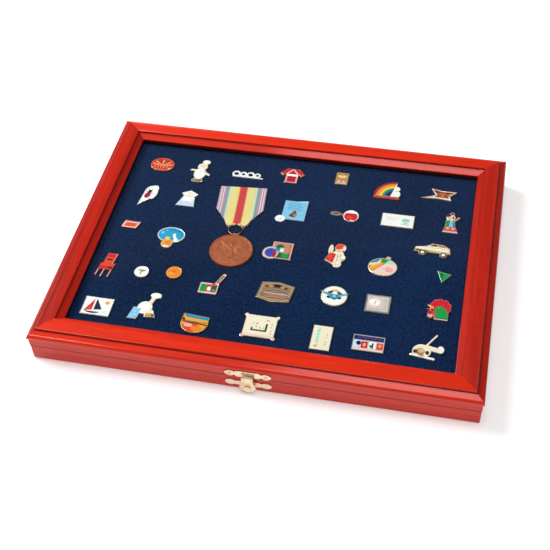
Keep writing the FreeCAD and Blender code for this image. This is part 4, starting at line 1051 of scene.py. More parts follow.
def fourth_row() -> list[Pin]:
    """Fourth row."""
    chair = either(poly((-3.2, 12.8), (5.6, 12.8), (4.2, 0.6), (-4.6, 0.6)),
        poly((-6, 1.6), (6.4, 1.6), (5.4, -5.6), (-7, -5.6)), bar(-6, -5, -6.8, -12, 1.5),
        bar(-1.2, -5, -2.2, -13, 1.5), bar(4.6, -5, 3.6, -12.6, 1.5))
    plaque = poly((-14.6, -7.6), (-2, -11), (12.6, -9.2), (14.8, 7.6), (2, 10.6), (-12.4, 9.2))
    wings = poly((-12.2, 4.2), (0, -2.5), (12.2, 4.2), (0, 1.5))
    rooster = either(*(oval(1 + 6 * math.cos(a), 2.8 + 5.6 * math.sin(a),
        2.7) for a in np.radians([-20, 18, 56, 94, 132, 165])), oval(1.2, 2.8, 6.4, 6),
        poly((-5, 2.6), (7.6, 2.6), (7.6, -10.6), (-3.2, -10.6)), oval(-6.2, -5.6, 2.6, 4), poly((-10, 4),
        (-4.2, 2.6), (-5.6, -1.2), (-10.4, -1), (-6.6, 0.8)))
    return [
        Pin("chair_pin_enamel", "chair_pin", chair, E.RED, cells(
            (E.SCARLET, poly((-2.4, 12.2), (4.8, 12.2), (3.6, 1.2), (-3.8, 1.2))),
            (E.UMBER, oblong(0.4, 5.6, 4.6, 1.8, -3), oblong(3.2, -3.2, 3.6, 2)),
            (E.RED, oblong(0.9, 9.8, 5.6, 3.2, -3)),
            (E.SCARLET, poly((-5.6, 0.8), (5.6, 0.8), (5, -1.6), (-6.2, -1.6))), (E.PINK,
            bar(-6.2, -6, -6.8, -11.6, 0.9), bar(-1.4, -6, -2.2, -12.6, 0.9), bar(4.5, -6, 3.6, -12.2, 0.9),
            bar(4.9, 11.8, 3.9, 1.6, 0.5))), E.COPPER, rim=0.35),
        Pin("white_round_pin", "round_pins", oval(0, 0, 6.2), E.WHITE, cells(
            (E.BROWN, bar(-2.6, 1.8, 0, 0.2, 0.8), bar(2.8, 1.8, 0, 0.2, 1), bar(0, 0.4, -0.4, -2.8, 0.8)),
            (E.GREY, oval(0.2, 1.7, 1.7, 0.5))), E.SILVER, which=0, rim=0.4),
        Pin("orange_round_pin", "round_pins", oval(0, 0, 6.6), E.AMBER, cells(
            (E.ORANGE, oval(0, 0, 5.4)), (E.AMBER, oval(-1.4, -1.6, 2.6, 1.8)),
            (E.BROWN, twin(bar(1.4, 1.8, 0, 0.6, 0.5)), bar(0, 0.6, 0, -1.4, 0.6))), E.COPPER, which=1,
            rim=0.4),
        Pin("guitar_pin_enamel", "guitar_pin", either(oblong(-2.2, -4.6, 15.6, 11.6, 0, 1.2),
            bar(3, 0.6, 7.4, 11, 3.4)), E.BLUSH, cells((E.LEAF, oblong(-6.4, -4.6, 5, 8.4, 0, 0.8)),
            (E.BOTTLE, oblong(2.2, -4.4, 4.6, 8.2, 0, 0.8)), (E.GREY, oblong(2.4, -6.4, 3, 2.4)),
            (E.RED, oblong(-2.2, -4.4, 3.6, 7.8)), (E.WHITE, oval(-1.8, -5, 1.4, 2.2)),
            (E.SCARLET, oval(1.4, -0.2, 2.2, 1.3)), (E.BROWN, bar(3.6, 2.4, 7, 10.2, 1.6)),
            (E.TAN, bar(4, 3.6, 6.8, 9.8, 0.5))), E.PINK, rim=0.45, post=(-2, -4)),
        Pin("bronze_plaque_pin", "plaque_pins", plaque, E.BRONZE, cells(
            (E.COPPER, oval(0.6, -4.6, 10.4, 2.4, 3)),
            (E.GREY, row(6, lambda i: hoop(oval(0.4, -15, 17.5, 4.6 + 2.6 * i), 0.9))),
            (E.DARK_BRONZE, row(5, lambda i: hoop(oval(0.4, -15, 17.5, 5.9 + 2.6 * i), 0.5))),
            (E.GREY, less(plaque, lambda x, y: plaque(x, y) + 2.2)),
            (E.SAND, hoop(lambda x, y: plaque(x, y) + 2, 0.4)),
            (E.DARK_BRONZE, oval(0.4, 6, 5, 2), oval(7.4, 4.4, 2, 1.2), oval(-7.2, 4.8, 1.8, 1.1)),
            (E.COPPER, oval(-4.6, 5.6, 2.2, 1.2), oval(5, 5.2, 1.8, 1.1)),
            (E.BLACK, oval(0.6, 6.4, 2.6, 1.2)),
            (E.GREY, bar(-9.4, 1.4, 9.6, 1.8, 0.7), bar(-6.2, 3, 6.4, 3.2, 0.5)),
            (E.BLUSH, bar(-9, -1.8, 10.2, -2.2, 0.6)), (E.CRIMSON, oval(11.6, -5.4, 1.6, 0.7))), E.SAND,
            which=0, rim=0.8),
        Pin("winged_disc_pin", "oval_pins", either(oval(0, 0, 10.6, 10.4), wings), E.WHITE, cells(
            (E.CREAM, hoop(oval(0, 0, 9.6, 9.4), 0.7)),
            (E.AMBER, both(oval(0.2, 3.6, 4.4, 3), oblong(0, 6.4, 9, 3.4))),
            (E.UMBER, oval(-3.4, 3.4, 2.4, 1.1, 20), oval(3.8, 3.2, 2.4, 1.1, -20)),
            (E.TEAL, wings, twin(bar(11, 3.6, 4, 0.2, 1.7))), (E.SKY, twin(bar(10.4, 3.6, 4, 0.6, 0.6))),
            (E.NAVY, oval(-4.2, -1.9, 1.7, 1.2, -20), oval(4.4, -1.9, 1.7, 1.2, 20)),
            (E.TEAL, oval(0.1, -1.2, 3.4, 2.7)), (E.SKY, oval(0.1, -0.4, 1.7, 1.2)),
            (E.BOTTLE, oval(0.4, -3.4, 1.6, 0.6))), E.CREAM, which=1, rim=0.5),
        Pin("silver_square_pin", "square_pins", oblong(0, 0, 19.6, 18, 0, 0.5), E.SILVER, cells(
            (E.GREY, less(oblong(0, 0, 18.6, 17), oblong(0, 0, 16.4, 14.8))),
            (E.SILVER, oblong(0, 0, 16.8, 15.2)), (E.BLUSH, oval(-2.6, 0.8, 5.4, 4.4)),
            (E.WHITE, oval(-2.8, 1, 4.2, 3.3)), (E.CRIMSON, bar(-2.9, -1.2, -1.8, 3, 0.5)), (E.TAN, row(5,
            lambda i: bar(4.6 + 0.4 * (i % 2), 4.2 - 2.4 * i, 7.4 - 0.5 * (i % 3), 3.8 - 2.4 * i, 0.5))),
            (E.TAN, bar(-7.4, -6.2, -3, -5.8, 0.6), bar(-1.4, -6.4, 3, -6, 0.6),
            bar(-7, 6.2, -4.8, 6, 0.5)),
            (E.SKY, bar(2.6, -5.8, 5, -5.6, 0.4), bar(-6.4, 4.8, -4.8, 5.2, 0.4))), E.SILVER, which=1,
            rim=0.6),
        Pin("rooster_pin_enamel", "rooster_pin", rooster, E.RED, cells(
            (E.CRIMSON, row(4, lambda i: bar(-3.4 + 2.9 * i, 5 + 2.2 * (i in (1, 2)), -2.6 + 2.8 * i,
            9.4 - 1.2 * (i in (0, 3)), 0.4))), (E.LEAF, oval(0.6, -0.4, 3.6, 3.6), poly((-2.8, -0.4),
            (5, 1.4), (7.4, -5), (7.2, -9.6), (-2.6, -9.6))),
            (E.BOTTLE, bar(-1.6, -9.2, 6.6, -9, 0.4), oval(0, 0.8, 0.8)), (E.WHITE, oval(-0.1, 1, 0.35)),
            (E.AMBER, poly((-9.6, 3.6), (-4, 1.9), (-5, 0), (-9.8, -0.7), (-6.2, 0.9))),
            (E.YELLOW, bar(-8.6, 3, -5.2, 1.5, 0.5)), (E.PINK, oval(-6.2, -6.8, 1.6, 2.4)),
            (E.CRIMSON, oval(-6.4, -4.4, 1.4, 1.8)), (E.WHITE, bar(-2.8, -10.1, 7.2, -10.1, 0.7))), E.PINK,
            rim=0.35),
    ]


def fifth_row() -> list[Pin]:
    """Pins nearest the clasp."""
    baker = either(oval(6.2, 12, 4.6, 3), bar(3, 1, 5.6, 11, 3.8), oval(0.5, -1.5, 6.2, 6.6),
        poly((-11, -14), (-3.5, -14), (-1, -2), (-8.5, -2)), poly((1, -4), (8, -3), (11, -10), (2, -11)))
    bowl = either(poly((-10.6, 8.8), (10.8, 7.2), (11.2, 0.4), (-10.9, 1.2)),
        both(oval(0.1, 0.8, 11.2, 11), oblong(0, -5.4, 24, 13)))
    rider = either(oval(-3.4, -4.6, 7.2, 6.4), bar(-1, 0, 6.6, 12, 1.7), bar(-11, -8.8, 6, -11, 2.4),
        bar(0, -0.6, 9.6, -2.4, 4.6), oval(10.6, -1.2, 2.8, 3.6))
    board = either(oblong(0, 0, 25.4, 22), *(oval(sx * 12.4, sy * 10.4, 1.7) for sx in (-1,
        1) for sy in (-1, 1)))
    return [
        Pin("sailing_pin", "square_pins", oblong(0, 0, 24, 18.6), E.WHITE, cells(
            (E.RED, poly((-9.8, -5.6), (-3.4, -4.4), (-3.4, 7.6))),
            (E.SCARLET, poly((-8, -4.6), (-5, -4.2), (-4.6, 1.6))),
            (E.NAVY, poly((-2, 7.8), (-2, -4), (4.6, -2.8))),
            (E.NAVY, both(oval(-2.8, -3, 8.4, 4.6), oblong(-2.8, -7, 18, 2.6))),
            (E.SKY, row(3, lambda i: bar(4.4 + 0.8 * i, -7.4 + 1.4 * i, 9.6, -7.2 + 1.4 * i, 0.35))),
            (E.AMBER, oval(7.2, 4.4, 1.8))), E.SILVER, which=0, rim=0.8),
        Pin("baker_pin", "cook_pins", baker, E.WHITE, cells(
            (E.CREAM, bar(3.4, 2, 5.4, 9.4, 2.8)), (E.SAND, bar(4.8, 2.2, 6.2, 8.2, 0.35)),
            (E.WHITE, oval(6.2, 12.2, 4, 2.4)), (E.ICE, oval(1.8, -1.8, 4, 4.4)),
            (E.WHITE, oval(0.2, -0.9, 4.8, 5)),
            (E.SKY, poly((-10.4, -13.6), (-3.8, -13.6), (-1.8, -3), (-8.3, -2.6))),
            (E.ICE, oval(-6.4, -6.4, 0.7), oval(-5.4, -9.6, 0.7), oval(-7.6, -11.4, 0.6)),
            (E.CREAM, poly((2, -4.4), (7.4, -3.6), (8.8, -7), (2.6, -7.2))),
            (E.TAN, poly((3, -6.8), (8.6, -6.4), (10.2, -9.6), (2.8, -10.4))),
            (E.AMBER, oval(5, -7.8, 1.6, 1.2)), (E.BROWN, oval(8.9, -8.6, 1.1, 1.4)),
            (E.ICE, bar(-2, -8.6, 1.6, -9.6, 1.2))), E.CREAM, which=1, rim=0.3),
        Pin("bowl_pin_enamel", "bowl_pin", bowl, E.AMBER, cells(
            (E.TEAL, poly((-9.8, 8.2), (10, 6.6), (10.2, 3.6), (-7.8, 5))),
            (E.CYAN, bar(-6, 6.8, 8.6, 5.6, 1)),
            (E.UMBER, poly((-11, 4.2), (-8.6, 4), (-7.6, 1.2), (10.4, -0.6), (10.2, -1.8), (-9.6, -0.2))),
            (E.AMBER, row(6, lambda i: oval(-6 + 2.9 * i, 2.6 - 0.22 * i, 1.7, 1))),
            (E.SAND, oblong(1.4, 1.4, 15.4, 0.8, -4)), (E.SCARLET, both(bowl, oval(-2.4, -5, 7.6, 4.4))),
            (E.PINK, both(bowl, oval(-4.4, -3, 3.6, 1.8))),
            (E.ORANGE, both(bowl, oval(3, -5.6, 4.8, 2.6)))), E.TAN, rim=0.7, post=(0, 2)),
        Pin("game_board_pin", "plaque_pins", board, E.CREAM, cells(
            (E.BLUSH, oblong(0, -9.2, 24.2, 2.2)),
            (E.PINK, twin(oval(12.4, -10.4, 1.1)), bar(-4, -10.2, 4, -10.3, 0.8)), (E.BOTTLE,
            oblong(-0.4, -4.2, 12.6, 1.6), oblong(5.2, -0.6, 1.7, 7.4), oblong(-6, -2.8, 1.4, 2.4)),
            (E.CRIMSON, oval(-2.6, -0.6, 0.55), oval(0.4, -1.6, 0.55), oval(9.4, -3.4, 0.5)),
            (E.LEAF, oval(-2.6, 2.6, 0.7), oval(9, 3.6, 0.5), oval(3, -1.4, 0.5)),
            (E.ORANGE, oval(-5.8, 2.4, 0.6), oval(9.2, 0.2, 0.6), oval(6.4, 6.2, 0.5)),
            (E.NAVY, oval(9.6, -6.2, 0.5), oval(5, 6.4, 0.6))), E.PALE_GOLD, which=1, rim=0.5),
        Pin("cream_card_pin", "card_pins", oblong(0, 0, 15.6, 24), E.CREAM, cells(
            (E.MINT, oblong(-3, 2, 2.4, 15)),
            (E.CREAM, row(5, lambda i: bar(-4.6, 7.8 - 3.2 * i, -1.2, 7.8 - 3.2 * i, 0.4))), (E.TAN,
            bar(3.6, 4.4, 4.4, 2.6, 0.5), bar(3.2, -3.2, 4.4, -4.4, 0.6), bar(3.6, -5.8, 4.2, -6.8, 0.7),
            bar(2.2, 0.6, 4.6, 0.2, 0.35)),
            (E.PINK, oval(-3.4, -8.4, 1.6, 0.9), bar(-5.2, -7, -1.4, -7.2, 0.4)),
            (E.TAN, oval(-3.2, -8.6, 0.7))), E.PALE_GOLD, which=1, rim=0.5),
        Pin("block_pin", "bar_pins", oblong(0, 0, 24.6, 15.4), E.SILVER, cells(
            (E.NAVY, oblong(0, 4.7, 23, 4.2)),
            (E.BLUE, row(4, lambda i: bar(-8.6 + 5.4 * i, 4.6, -6.2 + 5.4 * i, 4.8, 1.2))),
            (E.CRIMSON, row(3, lambda i: oval(-4.4 + 5 * i, 5.6, 1.2, 0.5))),
            (E.ICE, oblong(-9.2, -1.6, 4.2, 7.2)), (E.NAVY, oval(-7.4, -0.6, 1.9, 2)),
            (E.RED, oblong(-2.9, -1.8, 5, 6.4)), (E.PINK, oval(-2.9, -1.8, 1.1, 1.6)),
            (E.WHITE, oblong(3.2, -1.7, 5, 6.6)), (E.NAVY, oblong(3.4, -2, 1.2, 5.4)),
            (E.BOTTLE, oval(2, -2.6, 0.8, 1.6)), (E.SCARLET, oblong(8.9, -1.8, 5, 6.4)),
            (E.PINK, oval(8.9, -1.2, 1, 1.4)), (E.BLUSH, oblong(0, -6.4, 23, 1.2))), E.SILVER, which=1,
            rim=0.5),
        Pin("rider_pin_enamel", "rider_pin", rider, E.CREAM, cells(
            (E.WHITE, bar(-0.8, 0.6, 6.4, 11.6, 1), oval(10.8, -1.2, 2.2, 2.8)),
            (E.PINK, bar(1.4, 3.2, 5.6, 9.6, 0.35)),
            (E.CREAM, oval(-2.4, -1.4, 5, 2.6), bar(0.6, -0.8, 8.6, -2, 3.2)),
            (E.TAN, oval(-4.4, -5.4, 3.6, 3.4)), (E.SAND, oval(-3.6, -4.4, 2.2, 1.8)),
            (E.UMBER, oval(-8.2, -5.6, 1.6, 1.8), oval(0.9, -5.8, 1.4, 1.9)),
            (E.BROWN, bar(-9, -4, -5, -8.6, 0.5), oval(-3.4, -8.6, 1.8, 0.7)),
            (E.WHITE, bar(-10.8, -8.8, 5.8, -10.9, 1.5)), (E.SILVER, oval(-3, -9.8, 2.6, 0.8))),
            E.PALE_GOLD, rim=0.3),
    ]


@dataclass(frozen=True)
class EnamelAndPlating:
    """Glossy enamel in raised plated walls, told apart by values painted on the surface."""

    name: str = "enamel_and_plating"

    def material(self) -> bpy.types.Material:
        """Painted colour, shiny where the plating shows, with a faint ripple and fine handling marks.

        Returns:
            The finish.
        """
        tree = Tree(self.name)
        where = tree.place()
        colour = tree.add("Attribute", attribute_name="paint").outputs["Color"]
        gleam = tree.add("Attribute", attribute_name="gleam").outputs["Fac"]
        cloud = tree.noise(where, 900.0, 3.0, 0.6)
        shade = tree.ramp(cloud, [(0.3, (0.86, 0.86, 0.86)), (0.7, (1.06, 1.06, 1.06))])
        colour = tree.mix(0.6, colour, shade, "MULTIPLY")
        rough = tree.maths("ADD", tree.maths("MULTIPLY", gleam, 0.14), tree.maths("MULTIPLY", cloud, 0.3))
        metal = tree.maths("MULTIPLY", gleam, 0.85)
        normal = tree.bump(tree.noise(where, 2400.0, 3.0), 0.00001)
        return tree.finish(Base_Color=colour, Metallic=metal, Roughness=rough, Normal=normal, Coat_Weight=0.25,
                           Coat_Roughness=0.08)


@dataclass
class LapelPins:
    """Every lapel pin, each a plate of plating and enamel cells with a post in the pad."""

    thickness: float = 1.5
    step: float = 0.25
    margin: float = 1.5
    recess: float = 0.16
    recess_edge: tuple[float, float] = (-0.05, 0.3)
    dome: float = 0.12
    dome_reach: float = 1.2
    ridge: float = 0.05
    ridge_sides: tuple[float, float] = (0.05, 0.3)
    ridge_cover: tuple[float, float] = (-0.35, 0.1)
    edge_round: float = 0.3
    post_radius: float = 0.5
    post_length: float = 6.8
    post_point: float = 0.6
    post_tip_radius: float = 0.15
    post_bite: float = 0.2
    post_sides: int = 10

    def build(self) -> None:
        """Build the pins row by row."""
        material = EnamelAndPlating().material()
        for make in (first_row, second_row, third_row, fourth_row, fifth_row):
            for pin in make():
                self.one(pin, material)

    def one(self, pin: Pin, material: bpy.types.Material) -> None:
        """Build one pin where its node lies.

        Args:
            pin: the design.
            material: the finish.
        """
        low, high = spot(pin.node, pin.which)
        half = (high - low) / 2 + self.margin
        body = plate(pin.outline, (-half[0], half[0], -half[1], half[1]), self.step,
                     lambda x, y: self.height(pin, x, y), 0.0)
        body.paint = self.colours(pin, body)
        middle = (body.points[:, :2].min(0) + body.points[:, :2].max(0)) / 2
        shift = (low[:2] + high[:2]) / 2 - middle
        levels = (-self.post_length, -self.post_length + self.post_point, self.post_bite)
        radii = np.array([self.post_tip_radius, self.post_radius, self.post_radius])
        post = tube(np.array([[*pin.post, level] for level in levels]), radii, self.post_sides)
        post.paint = {"paint": np.tile(linear(E.SILVER.value), (len(post.points), 1)),
                      "gleam": np.ones(len(post.points))}
        whole = body.with_(post)
        whole.points = whole.points + [shift[0], shift[1], high[2] - self.thickness]
        piece = whole.build(pin.name, material)
        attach(piece, "base")
        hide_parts(pin.node)

    def layers(self, pin: Pin, x: Array, y: Array) -> tuple[Array, Array]:
        """Colour and metal, laid down in the design's order.

        Args:
            pin: the design.
            x: places across.
            y: places along.

        Returns:
            Linear colour and share of metal at each place.
        """
        soft = self.step / 2
        inner = pin.outline(x, y) + pin.rim
        inside = 1 - smooth(-soft, soft, inner)
        colour = np.tile(linear(pin.plating.value), (len(x), 1))
        metal = 1 - inside
        colour += inside[:, None] * (np.array(linear(pin.ground.value)) - colour)
        for cell in pin.cells:
            share = 1 - smooth(-soft, soft, np.maximum(cell.shape(x, y), inner))
            colour += share[:, None] * (np.array(linear(cell.colour.value)) - colour)
            metal = metal * (1 - share)
        return colour, metal

    def height(self, pin: Pin, x: Array, y: Array) -> Array:
        """Top level: plating flat with a rounded edge, enamel sunk and slightly domed.

        Args:
            pin: the design.
            x: places across.
            y: places along.

        Returns:
            Height over the felt.
        """
        inner = -pin.outline(x, y) - pin.rim
        sunk = smooth(*self.recess_edge, inner)
        dome = 1 - np.exp(-np.maximum(inner, 0) / self.dome_reach)
        ridges = np.zeros(len(x))
        for cell in pin.cells:
            d = cell.shape(x, y)
            ridges = np.maximum(ridges * smooth(*self.ridge_cover, d), 1 - smooth(*self.ridge_sides, np.abs(d)))
        level = self.thickness - self.recess * sunk + self.dome * dome * sunk + self.ridge * ridges * sunk
        near = np.clip(1 + pin.outline(x, y) / self.edge_round, 0, 1)
        return level - self.edge_round * (1 - np.sqrt(np.maximum(1 - near * near, 0)))

    def colours(self, pin: Pin, body: Surface) -> dict[str, Array]:
        """Values painted on a pin's surface.

        Args:
            pin: the design.
            body: the plate.

        Returns:
            The colour and the share of metal at each point.
        """
        x, y, z = body.points.T
        colour, metal = self.layers(pin, x, y)
        under = z < 0.5 * self.thickness
        colour[under] = linear(pin.plating.value)
        metal[under] = 1.0
        return {"paint": colour, "gleam": metal}


def spot(node: str, which: int = 0) -> tuple[Array, Array]:
    """Box of one solid in a node of up to two, told apart at the widest strip that no triangle crosses.

    Args:
        node: the node.
        which: 0 for the solid nearer the left, or nearer the back where they lie in line; 1 for the other.

    Returns:
        Lowest and highest corner, in millimetres.
    """
    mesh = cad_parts[node].data
    co, index = np.zeros(len(mesh.vertices) * 3, np.float32), np.zeros(len(mesh.loops), np.int32)
    mesh.vertices.foreach_get("co", co)
    mesh.loops.foreach_get("vertex_index", index)
    corners = (co.reshape(-1, 3).astype(float) / MM)[index].reshape(-1, 3, 3)
    gaps = []
    for axis in (0, 1):
        low, high = corners[:, :, axis].min(1), corners[:, :, axis].max(1)
        order = np.argsort(low)
        reached = np.maximum.accumulate(high[order])
        gap = low[order][1:] - reached[:-1]
        gaps.append((gap.max(), reached[gap.argmax()] + gap.max() / 2))
    axis = int(gaps[1][0] > gaps[0][0])
    if gaps[axis][0] > 2:
        middle = corners[:, :, axis].mean(1)
        first = middle < gaps[axis][1] if axis == 0 else middle > gaps[axis][1]
        corners = corners[first if which == 0 else ~first]
    points = corners.reshape(-1, 3)
    return points.min(0), points.max(0)


# ---------------------------------------------------------------- medal
def as_pinned(points: Array, ring: Sequence[float], degrees: float = 4.7) -> Array:
    """Points turned to the left about the middle of the medal's ring.

    Args:
        points: any number of points, laid out straight.
        ring: middle of the ring.
        degrees: how far the medal is turned where it is pinned.

    Returns:
        The turned points.
    """
    c, s = math.cos(math.radians(degrees)), math.sin(math.radians(degrees))
    x, y, z = np.moveaxis(points, -1, 0)
    dx, dy = x - ring[0], y - ring[1]
    return np.stack([ring[0] + c * dx - s * dy, ring[1] + s * dx + c * dy, z], axis=-1)


def ring_middle() -> tuple[float, float, float, float]:
    """Middle and outer radius of the medal's ring."""
    low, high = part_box("medal_ring")
    x, y, z = ((a + b) / 2 / MM for a, b in zip(low, high))
    return x, y, z, (high[1] - low[1]) / 2 / MM


@dataclass
class Medal:
    """Struck bronze disc with its eye, and the finishes of its ring and brooch bar."""

    radius: float = 18.0
    reach: float = 0.72
    rim: float = 0.9
    field_level: float = 1.85
    rim_level: float = 2.3
    step: float = 0.18
    eye_radius: float = 1.2
    eye_half: float = 1.3
    wire: float = 0.6
    bead_count: int = 96
    bead_height: float = 0.12
    pillow_reach: float = 0.22
    edge_round: float = 0.4

    def build(self) -> None:
        """Strike the disc, add its eye and dress the ring and the bar."""
        bronze = Metal("medal_bronze", "BE6840", "A4542F", 0.42, 0.000012, 260.0, 0.45).material()
        x, y, z, outer = ring_middle()
        eye_y = self.radius + self.reach
        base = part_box("medal_disc")[0][2] / MM
        face = plate(either(oval(0, 0, self.radius), oblong(0, self.radius, 3.0, 1.6)),
                     (-19, 19, -19, 19.5), self.step, self.relief, 0.0)
        across = np.array([-1.0, -0.92, 0.92, 1.0]) * self.eye_half
        path = np.column_stack([across, np.full(4, eye_y), np.full(4, self.eye_radius)])
        eye = tube(path, self.eye_radius * np.array([0.86, 1.0, 1.0, 0.86]), 24)
        whole = face.with_(eye)
        whole.points = as_pinned(whole.points + [x, y - outer + self.wire - eye_y, base], (x, y))
        disc = whole.build("struck_disc", bronze, 35.0)
        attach(disc, "base")
        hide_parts("medal_disc")
        dress(Metal("ring_bronze", "E0A878", "8A5030", 0.22).material(), "medal_ring")
        dress(Metal("brooch_metal", "C9C2B4", "7C766C", 0.3).material(), "medal_brooch")

    def figure(self) -> list[tuple[Shape, float]]:
        """Winged standing figure in a long robe, holding a sprig, with the height of each part."""
        def sprig_leaf(step: int, side: int) -> Shape:
            """One leaf of the sprig."""
            return oval(-5.9 - 0.12 * step - side * 0.55, 4.6 + 0.9 * step, 0.65, 0.26, 90 + side * 40)

        return [
            (twin(row(6, lambda i: bar(1.5, 4.4 - 0.5 * i, 9.4 - 0.9 * i, 9.6 - 2.3 * i, 1.5, 0.7))), 0.22),
            (twin(row(4, lambda i: bar(1.4, 4.6 - 0.5 * i, 5.0 - 0.4 * i, 7.2 - 1.5 * i, 1.1, 0.6))), 0.32),
            (poly((-1.9, 4.2), (1.9, 4.2), (1.4, 0.2), (4.0, -10.6), (-4.0, -10.6), (-1.4, 0.2)), 0.34),
            (row(7, lambda i: bar(-1.0 + 0.33 * i, 0.0, -3.3 + 1.1 * i, -10.2, 0.28, 0.5)), 0.46),
            (row(3, lambda i: bar(-1.2, 3.2 - 0.9 * i, 1.2, 2.8 - 0.9 * i, 0.35)), 0.44),
            (either(bar(-1.7, 3.6, -4.6, 0.6, 1.0, 0.7), bar(-4.6, 0.6, -5.6, 3.2, 0.7, 0.6)), 0.42),
            (either(bar(1.7, 3.6, 4.4, 1.0, 1.0, 0.7), bar(4.4, 1.0, 5.4, -1.2, 0.7, 0.6)), 0.42),
            (either(bar(-5.7, 2.6, -6.4, 8.8, 0.3),
                    *(sprig_leaf(step, side) for step in range(5) for side in (-1, 1))), 0.34),
            (oval(0, 6.5, 1.55, 1.8), 0.3), (oval(0, 6.1, 1.15, 1.5), 0.42),
            (bar(0, 6.5, 0, 5.9, 0.22, 0.36), 0.52),
            (twin(bar(0.65, 6.65, 0.25, 6.68, 0.16)), 0.47),
            (bar(-0.3, 5.4, 0.3, 5.4, 0.14), 0.47), (bar(0, 4.7, 0, 4.0, 0.9), 0.34),
            (bar(-9.6, -11.2, 9.6, -11.2, 0.5), 0.26),
            (row(2, lambda i: bar(-7 + 14 * i, -12.6, -2.2 + 4.4 * i, -13.4, 0.9, 0.4)), 0.24),
        ]

    def relief(self, x: Array, y: Array) -> Array:
        """Face level: flat field, rounded raised rim with a beaded ring inside it, and each part of the
        figure as a low pillow, its height times one less a falling exponential of the depth inside it.

        Args:
            x: places across.
            y: places along.

        Returns:
            Height over the felt.
        """
        out = self.radius - np.hypot(x, y)
        on_rim = 1 - smooth(self.rim, self.rim + 0.35, out)
        z = self.field_level + (self.rim_level - self.field_level) * on_rim
        beads = np.cos(np.arctan2(y, x) * self.bead_count) * 0.5 + 0.5
        z += self.bead_height * beads * (1 - smooth(0.15, 0.35, np.abs(out - self.rim - 0.85)))
        raised = np.zeros(len(x))
        for shape, height in self.figure():
            pillow = 1 - np.exp(-np.maximum(-shape(x, y), 0) / self.pillow_reach)
            raised = np.maximum(raised, height * pillow)
        z += raised
        return z - self.edge_round * (1 - np.sqrt(1 - np.clip(1 - out / self.edge_round, 0, 1) ** 2))


@dataclass(frozen=True)
class RibbonSilk:
    """Ribbed silk ribbon with stripes painted by the share of its width."""

    name: str = "striped_ribbon"
    ribs: float = 2800.0
    dyes: tuple[str, ...] = ("DC2A34", "FBE68C", "E4E8B8", "7FA6AE", "C890AC", "F6ECEC")

    def material(self) -> bpy.types.Material:
        """Stripes mirrored about the middle, fine cross ribs in the bump and as painted shade in the colour,
        soft sheen.

        Returns:
            The ribbon.
        """
        tree = Tree(self.name)
        across = tree.add("Attribute", attribute_name="across").outputs["Fac"]
        along = tree.add("Attribute", attribute_name="along").outputs["Fac"]
        off = tree.maths("ABSOLUTE", across)
        red, gold, straw, teal, lilac, pale = (linear(dye) for dye in self.dyes)
        stops = [(0.0, red), (0.13, red), (0.20, gold), (0.42, gold), (0.50, straw), (0.58, straw),
                 (0.63, teal), (0.70, teal), (0.74, lilac), (0.79, lilac), (0.81, pale), (0.83, pale),
                 (0.85, lilac), (0.89, lilac), (0.91, pale), (0.93, pale), (0.95, lilac), (1.0, lilac)]
        colour = tree.ramp(off, stops)
        wave = tree.maths("SINE", tree.maths("MULTIPLY", along, self.ribs * 2 * math.pi * MM))
        rib = tree.scaled(wave, 0.5, 0.5)
        # Painted shade in the valleys between the cross ribs.
        shade = tree.ramp(rib, [(0.0, (0.80, 0.80, 0.80)), (1.0, (1, 1, 1))])
        colour = tree.mix(0.8, colour, shade, "MULTIPLY")
        threads = tree.noise(tree.place((6, 0.5, 1)), 500.0, 3.0)
        thread_shade = tree.ramp(threads, [(0.3, (0.7, 0.7, 0.7)), (0.7, (1, 1, 1))])
        colour = tree.mix(0.35, colour, thread_shade, "MULTIPLY")
        return tree.finish(Base_Color=colour, Roughness=0.55, Sheen_Weight=0.25, Sheen_Roughness=0.4,
                           Normal=tree.bump(rib, 0.00006))


